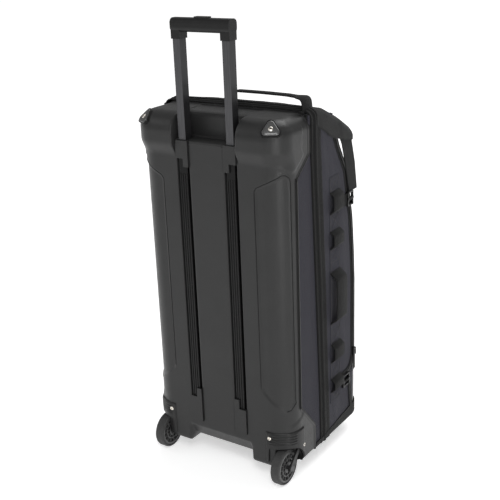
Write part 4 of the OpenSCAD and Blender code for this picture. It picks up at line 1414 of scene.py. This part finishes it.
def tube_ribs():
    """Four ribs down the back of the outer tube, clear of its clip and collar."""
    low, high = (Vector(v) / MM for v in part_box("outer_tube_right"))
    back = low.y - BACK / MM
    ribs = []
    for share in (0.1, 0.36, 0.64, 0.9):
        x = low.x + (high.x - low.x) * share
        ribs.append(rounded_box((x - 1.1, back - 1.1, low.z + 40),
                                (x + 1.1, back + 1, high.z - 60), 0.5))
    return joined(ribs)


pair("tube_ribs", tube_ribs(), "bag", TUBE_RIB, slot="tube_metal")


def shell_line(outline, lift=-0.3):
    """Points along an outline drawn on the shell's skin."""
    dense = []
    for (qa, za), (qb, zb) in zip(outline, outline[1:]):
        n = max(2, int(math.hypot(qb - qa, zb - za) / 4))
        dense += [(qa + (qb - qa) * t, za + (zb - za) * t) for t in np.linspace(0, 1, n)[:-1]]
    dense.append(outline[-1])
    points = []
    for q, z in dense:
        x, y, nx, ny = around(q)
        out = relief(q, z) + lift
        points.append((x + nx * out, y + ny * out, z))
    return points


# painted shade: a near-black cord along the recessed waist panel's edge, standing for the shade of
# its step
groove = shell_line(WAIST_PANEL[-1:] + WAIST_PANEL[:10])
groove = sweep(groove, circle(0.85, 6), up=(0.6, -0.8, 0))
pair("panel_shade_line", groove, "bag", SHADE_BLACK, slot="shell_plastic")

# ---- floor, light and camera ----


def studio():
    """A pale floor, soft lights and the camera."""
    scene = bpy.context.scene
    floor_mesh = bpy.data.meshes.new("floor")
    bm = bmesh.new()
    bmesh.ops.create_grid(bm, x_segments=8, y_segments=8, size=12)
    bm.to_mesh(floor_mesh)
    bm.free()
    floor = bpy.data.objects.new("floor", floor_mesh)
    scene.collection.objects.link(floor)
    mat, tree, shader, where, _ = blank("floor")
    tint(tree, shader, noise(tree, where, 900, 2), 0.90, 0.94)
    put(shader, Roughness=0.7, Emission_Color=(1, 1, 1, 1))
    apart = node_of(tree, "ShaderNodeVectorMath", operation="LENGTH")
    tree.links.new(where, apart.inputs[0])
    glow = span(tree, apart.outputs["Value"], 900, 3500, 0.52, 0.78)
    tree.links.new(glow, shader.inputs["Emission Strength"])
    floor_mesh.materials.append(mat)
    world = bpy.data.worlds.new("studio")
    world.use_nodes = True
    tree = world.node_tree
    tree.nodes["Background"].inputs[0].default_value = (1, 1, 1, 1)
    path = tree.nodes.new("ShaderNodeLightPath")
    strength = span(tree, path.outputs["Is Camera Ray"], 0, 1, 0.30, 1.05)
    tree.links.new(strength, tree.nodes["Background"].inputs[1])
    scene.world = world
    lights = (((1.2, -2.2, 2.9), 1.3, 1.3, 40), ((1.75, -1.25, 0.55), 0.22, 1.5, 11),
              ((-2.4, -1.4, 2.0), 1.4, 1.4, 10), ((0.3, 1.6, 3.2), 2.2, 2.2, 55))
    for k, (where, wide, high, power) in enumerate(lights):
        lamp = bpy.data.lights.new(f"light_{k}", "AREA")
        lamp.shape = "RECTANGLE"
        lamp.energy, lamp.size, lamp.size_y = power, wide, high
        obj = bpy.data.objects.new(f"light_{k}", lamp)
        obj.location = where
        aim = Vector((0, 0, 0.45)) - Vector(where)
        obj.rotation_euler = aim.to_track_quat("-Z", "Y").to_euler()
        scene.collection.objects.link(obj)
    cam = bpy.data.cameras.new("camera")
    cam.sensor_width, cam.lens = 36, 66.28
    cam.clip_start, cam.clip_end = 0.05, 60
    camera = bpy.data.objects.new("camera", cam)
    right = Vector((0.8346, 0.5497, -0.0353))
    down = Vector((0.1565, -0.2980, -0.9417))
    ahead = Vector((-0.5282, 0.7804, -0.3347))
    turn = Matrix((right.normalized(), -down.normalized(), -ahead.normalized())).transposed()
    camera.matrix_world = Matrix.Translation((0.9870, BACK - 1.3251, 1.0560)) @ turn.to_4x4()
    scene.collection.objects.link(camera)
    scene.camera = camera
    scene.view_settings.view_transform = "Standard"


studio()
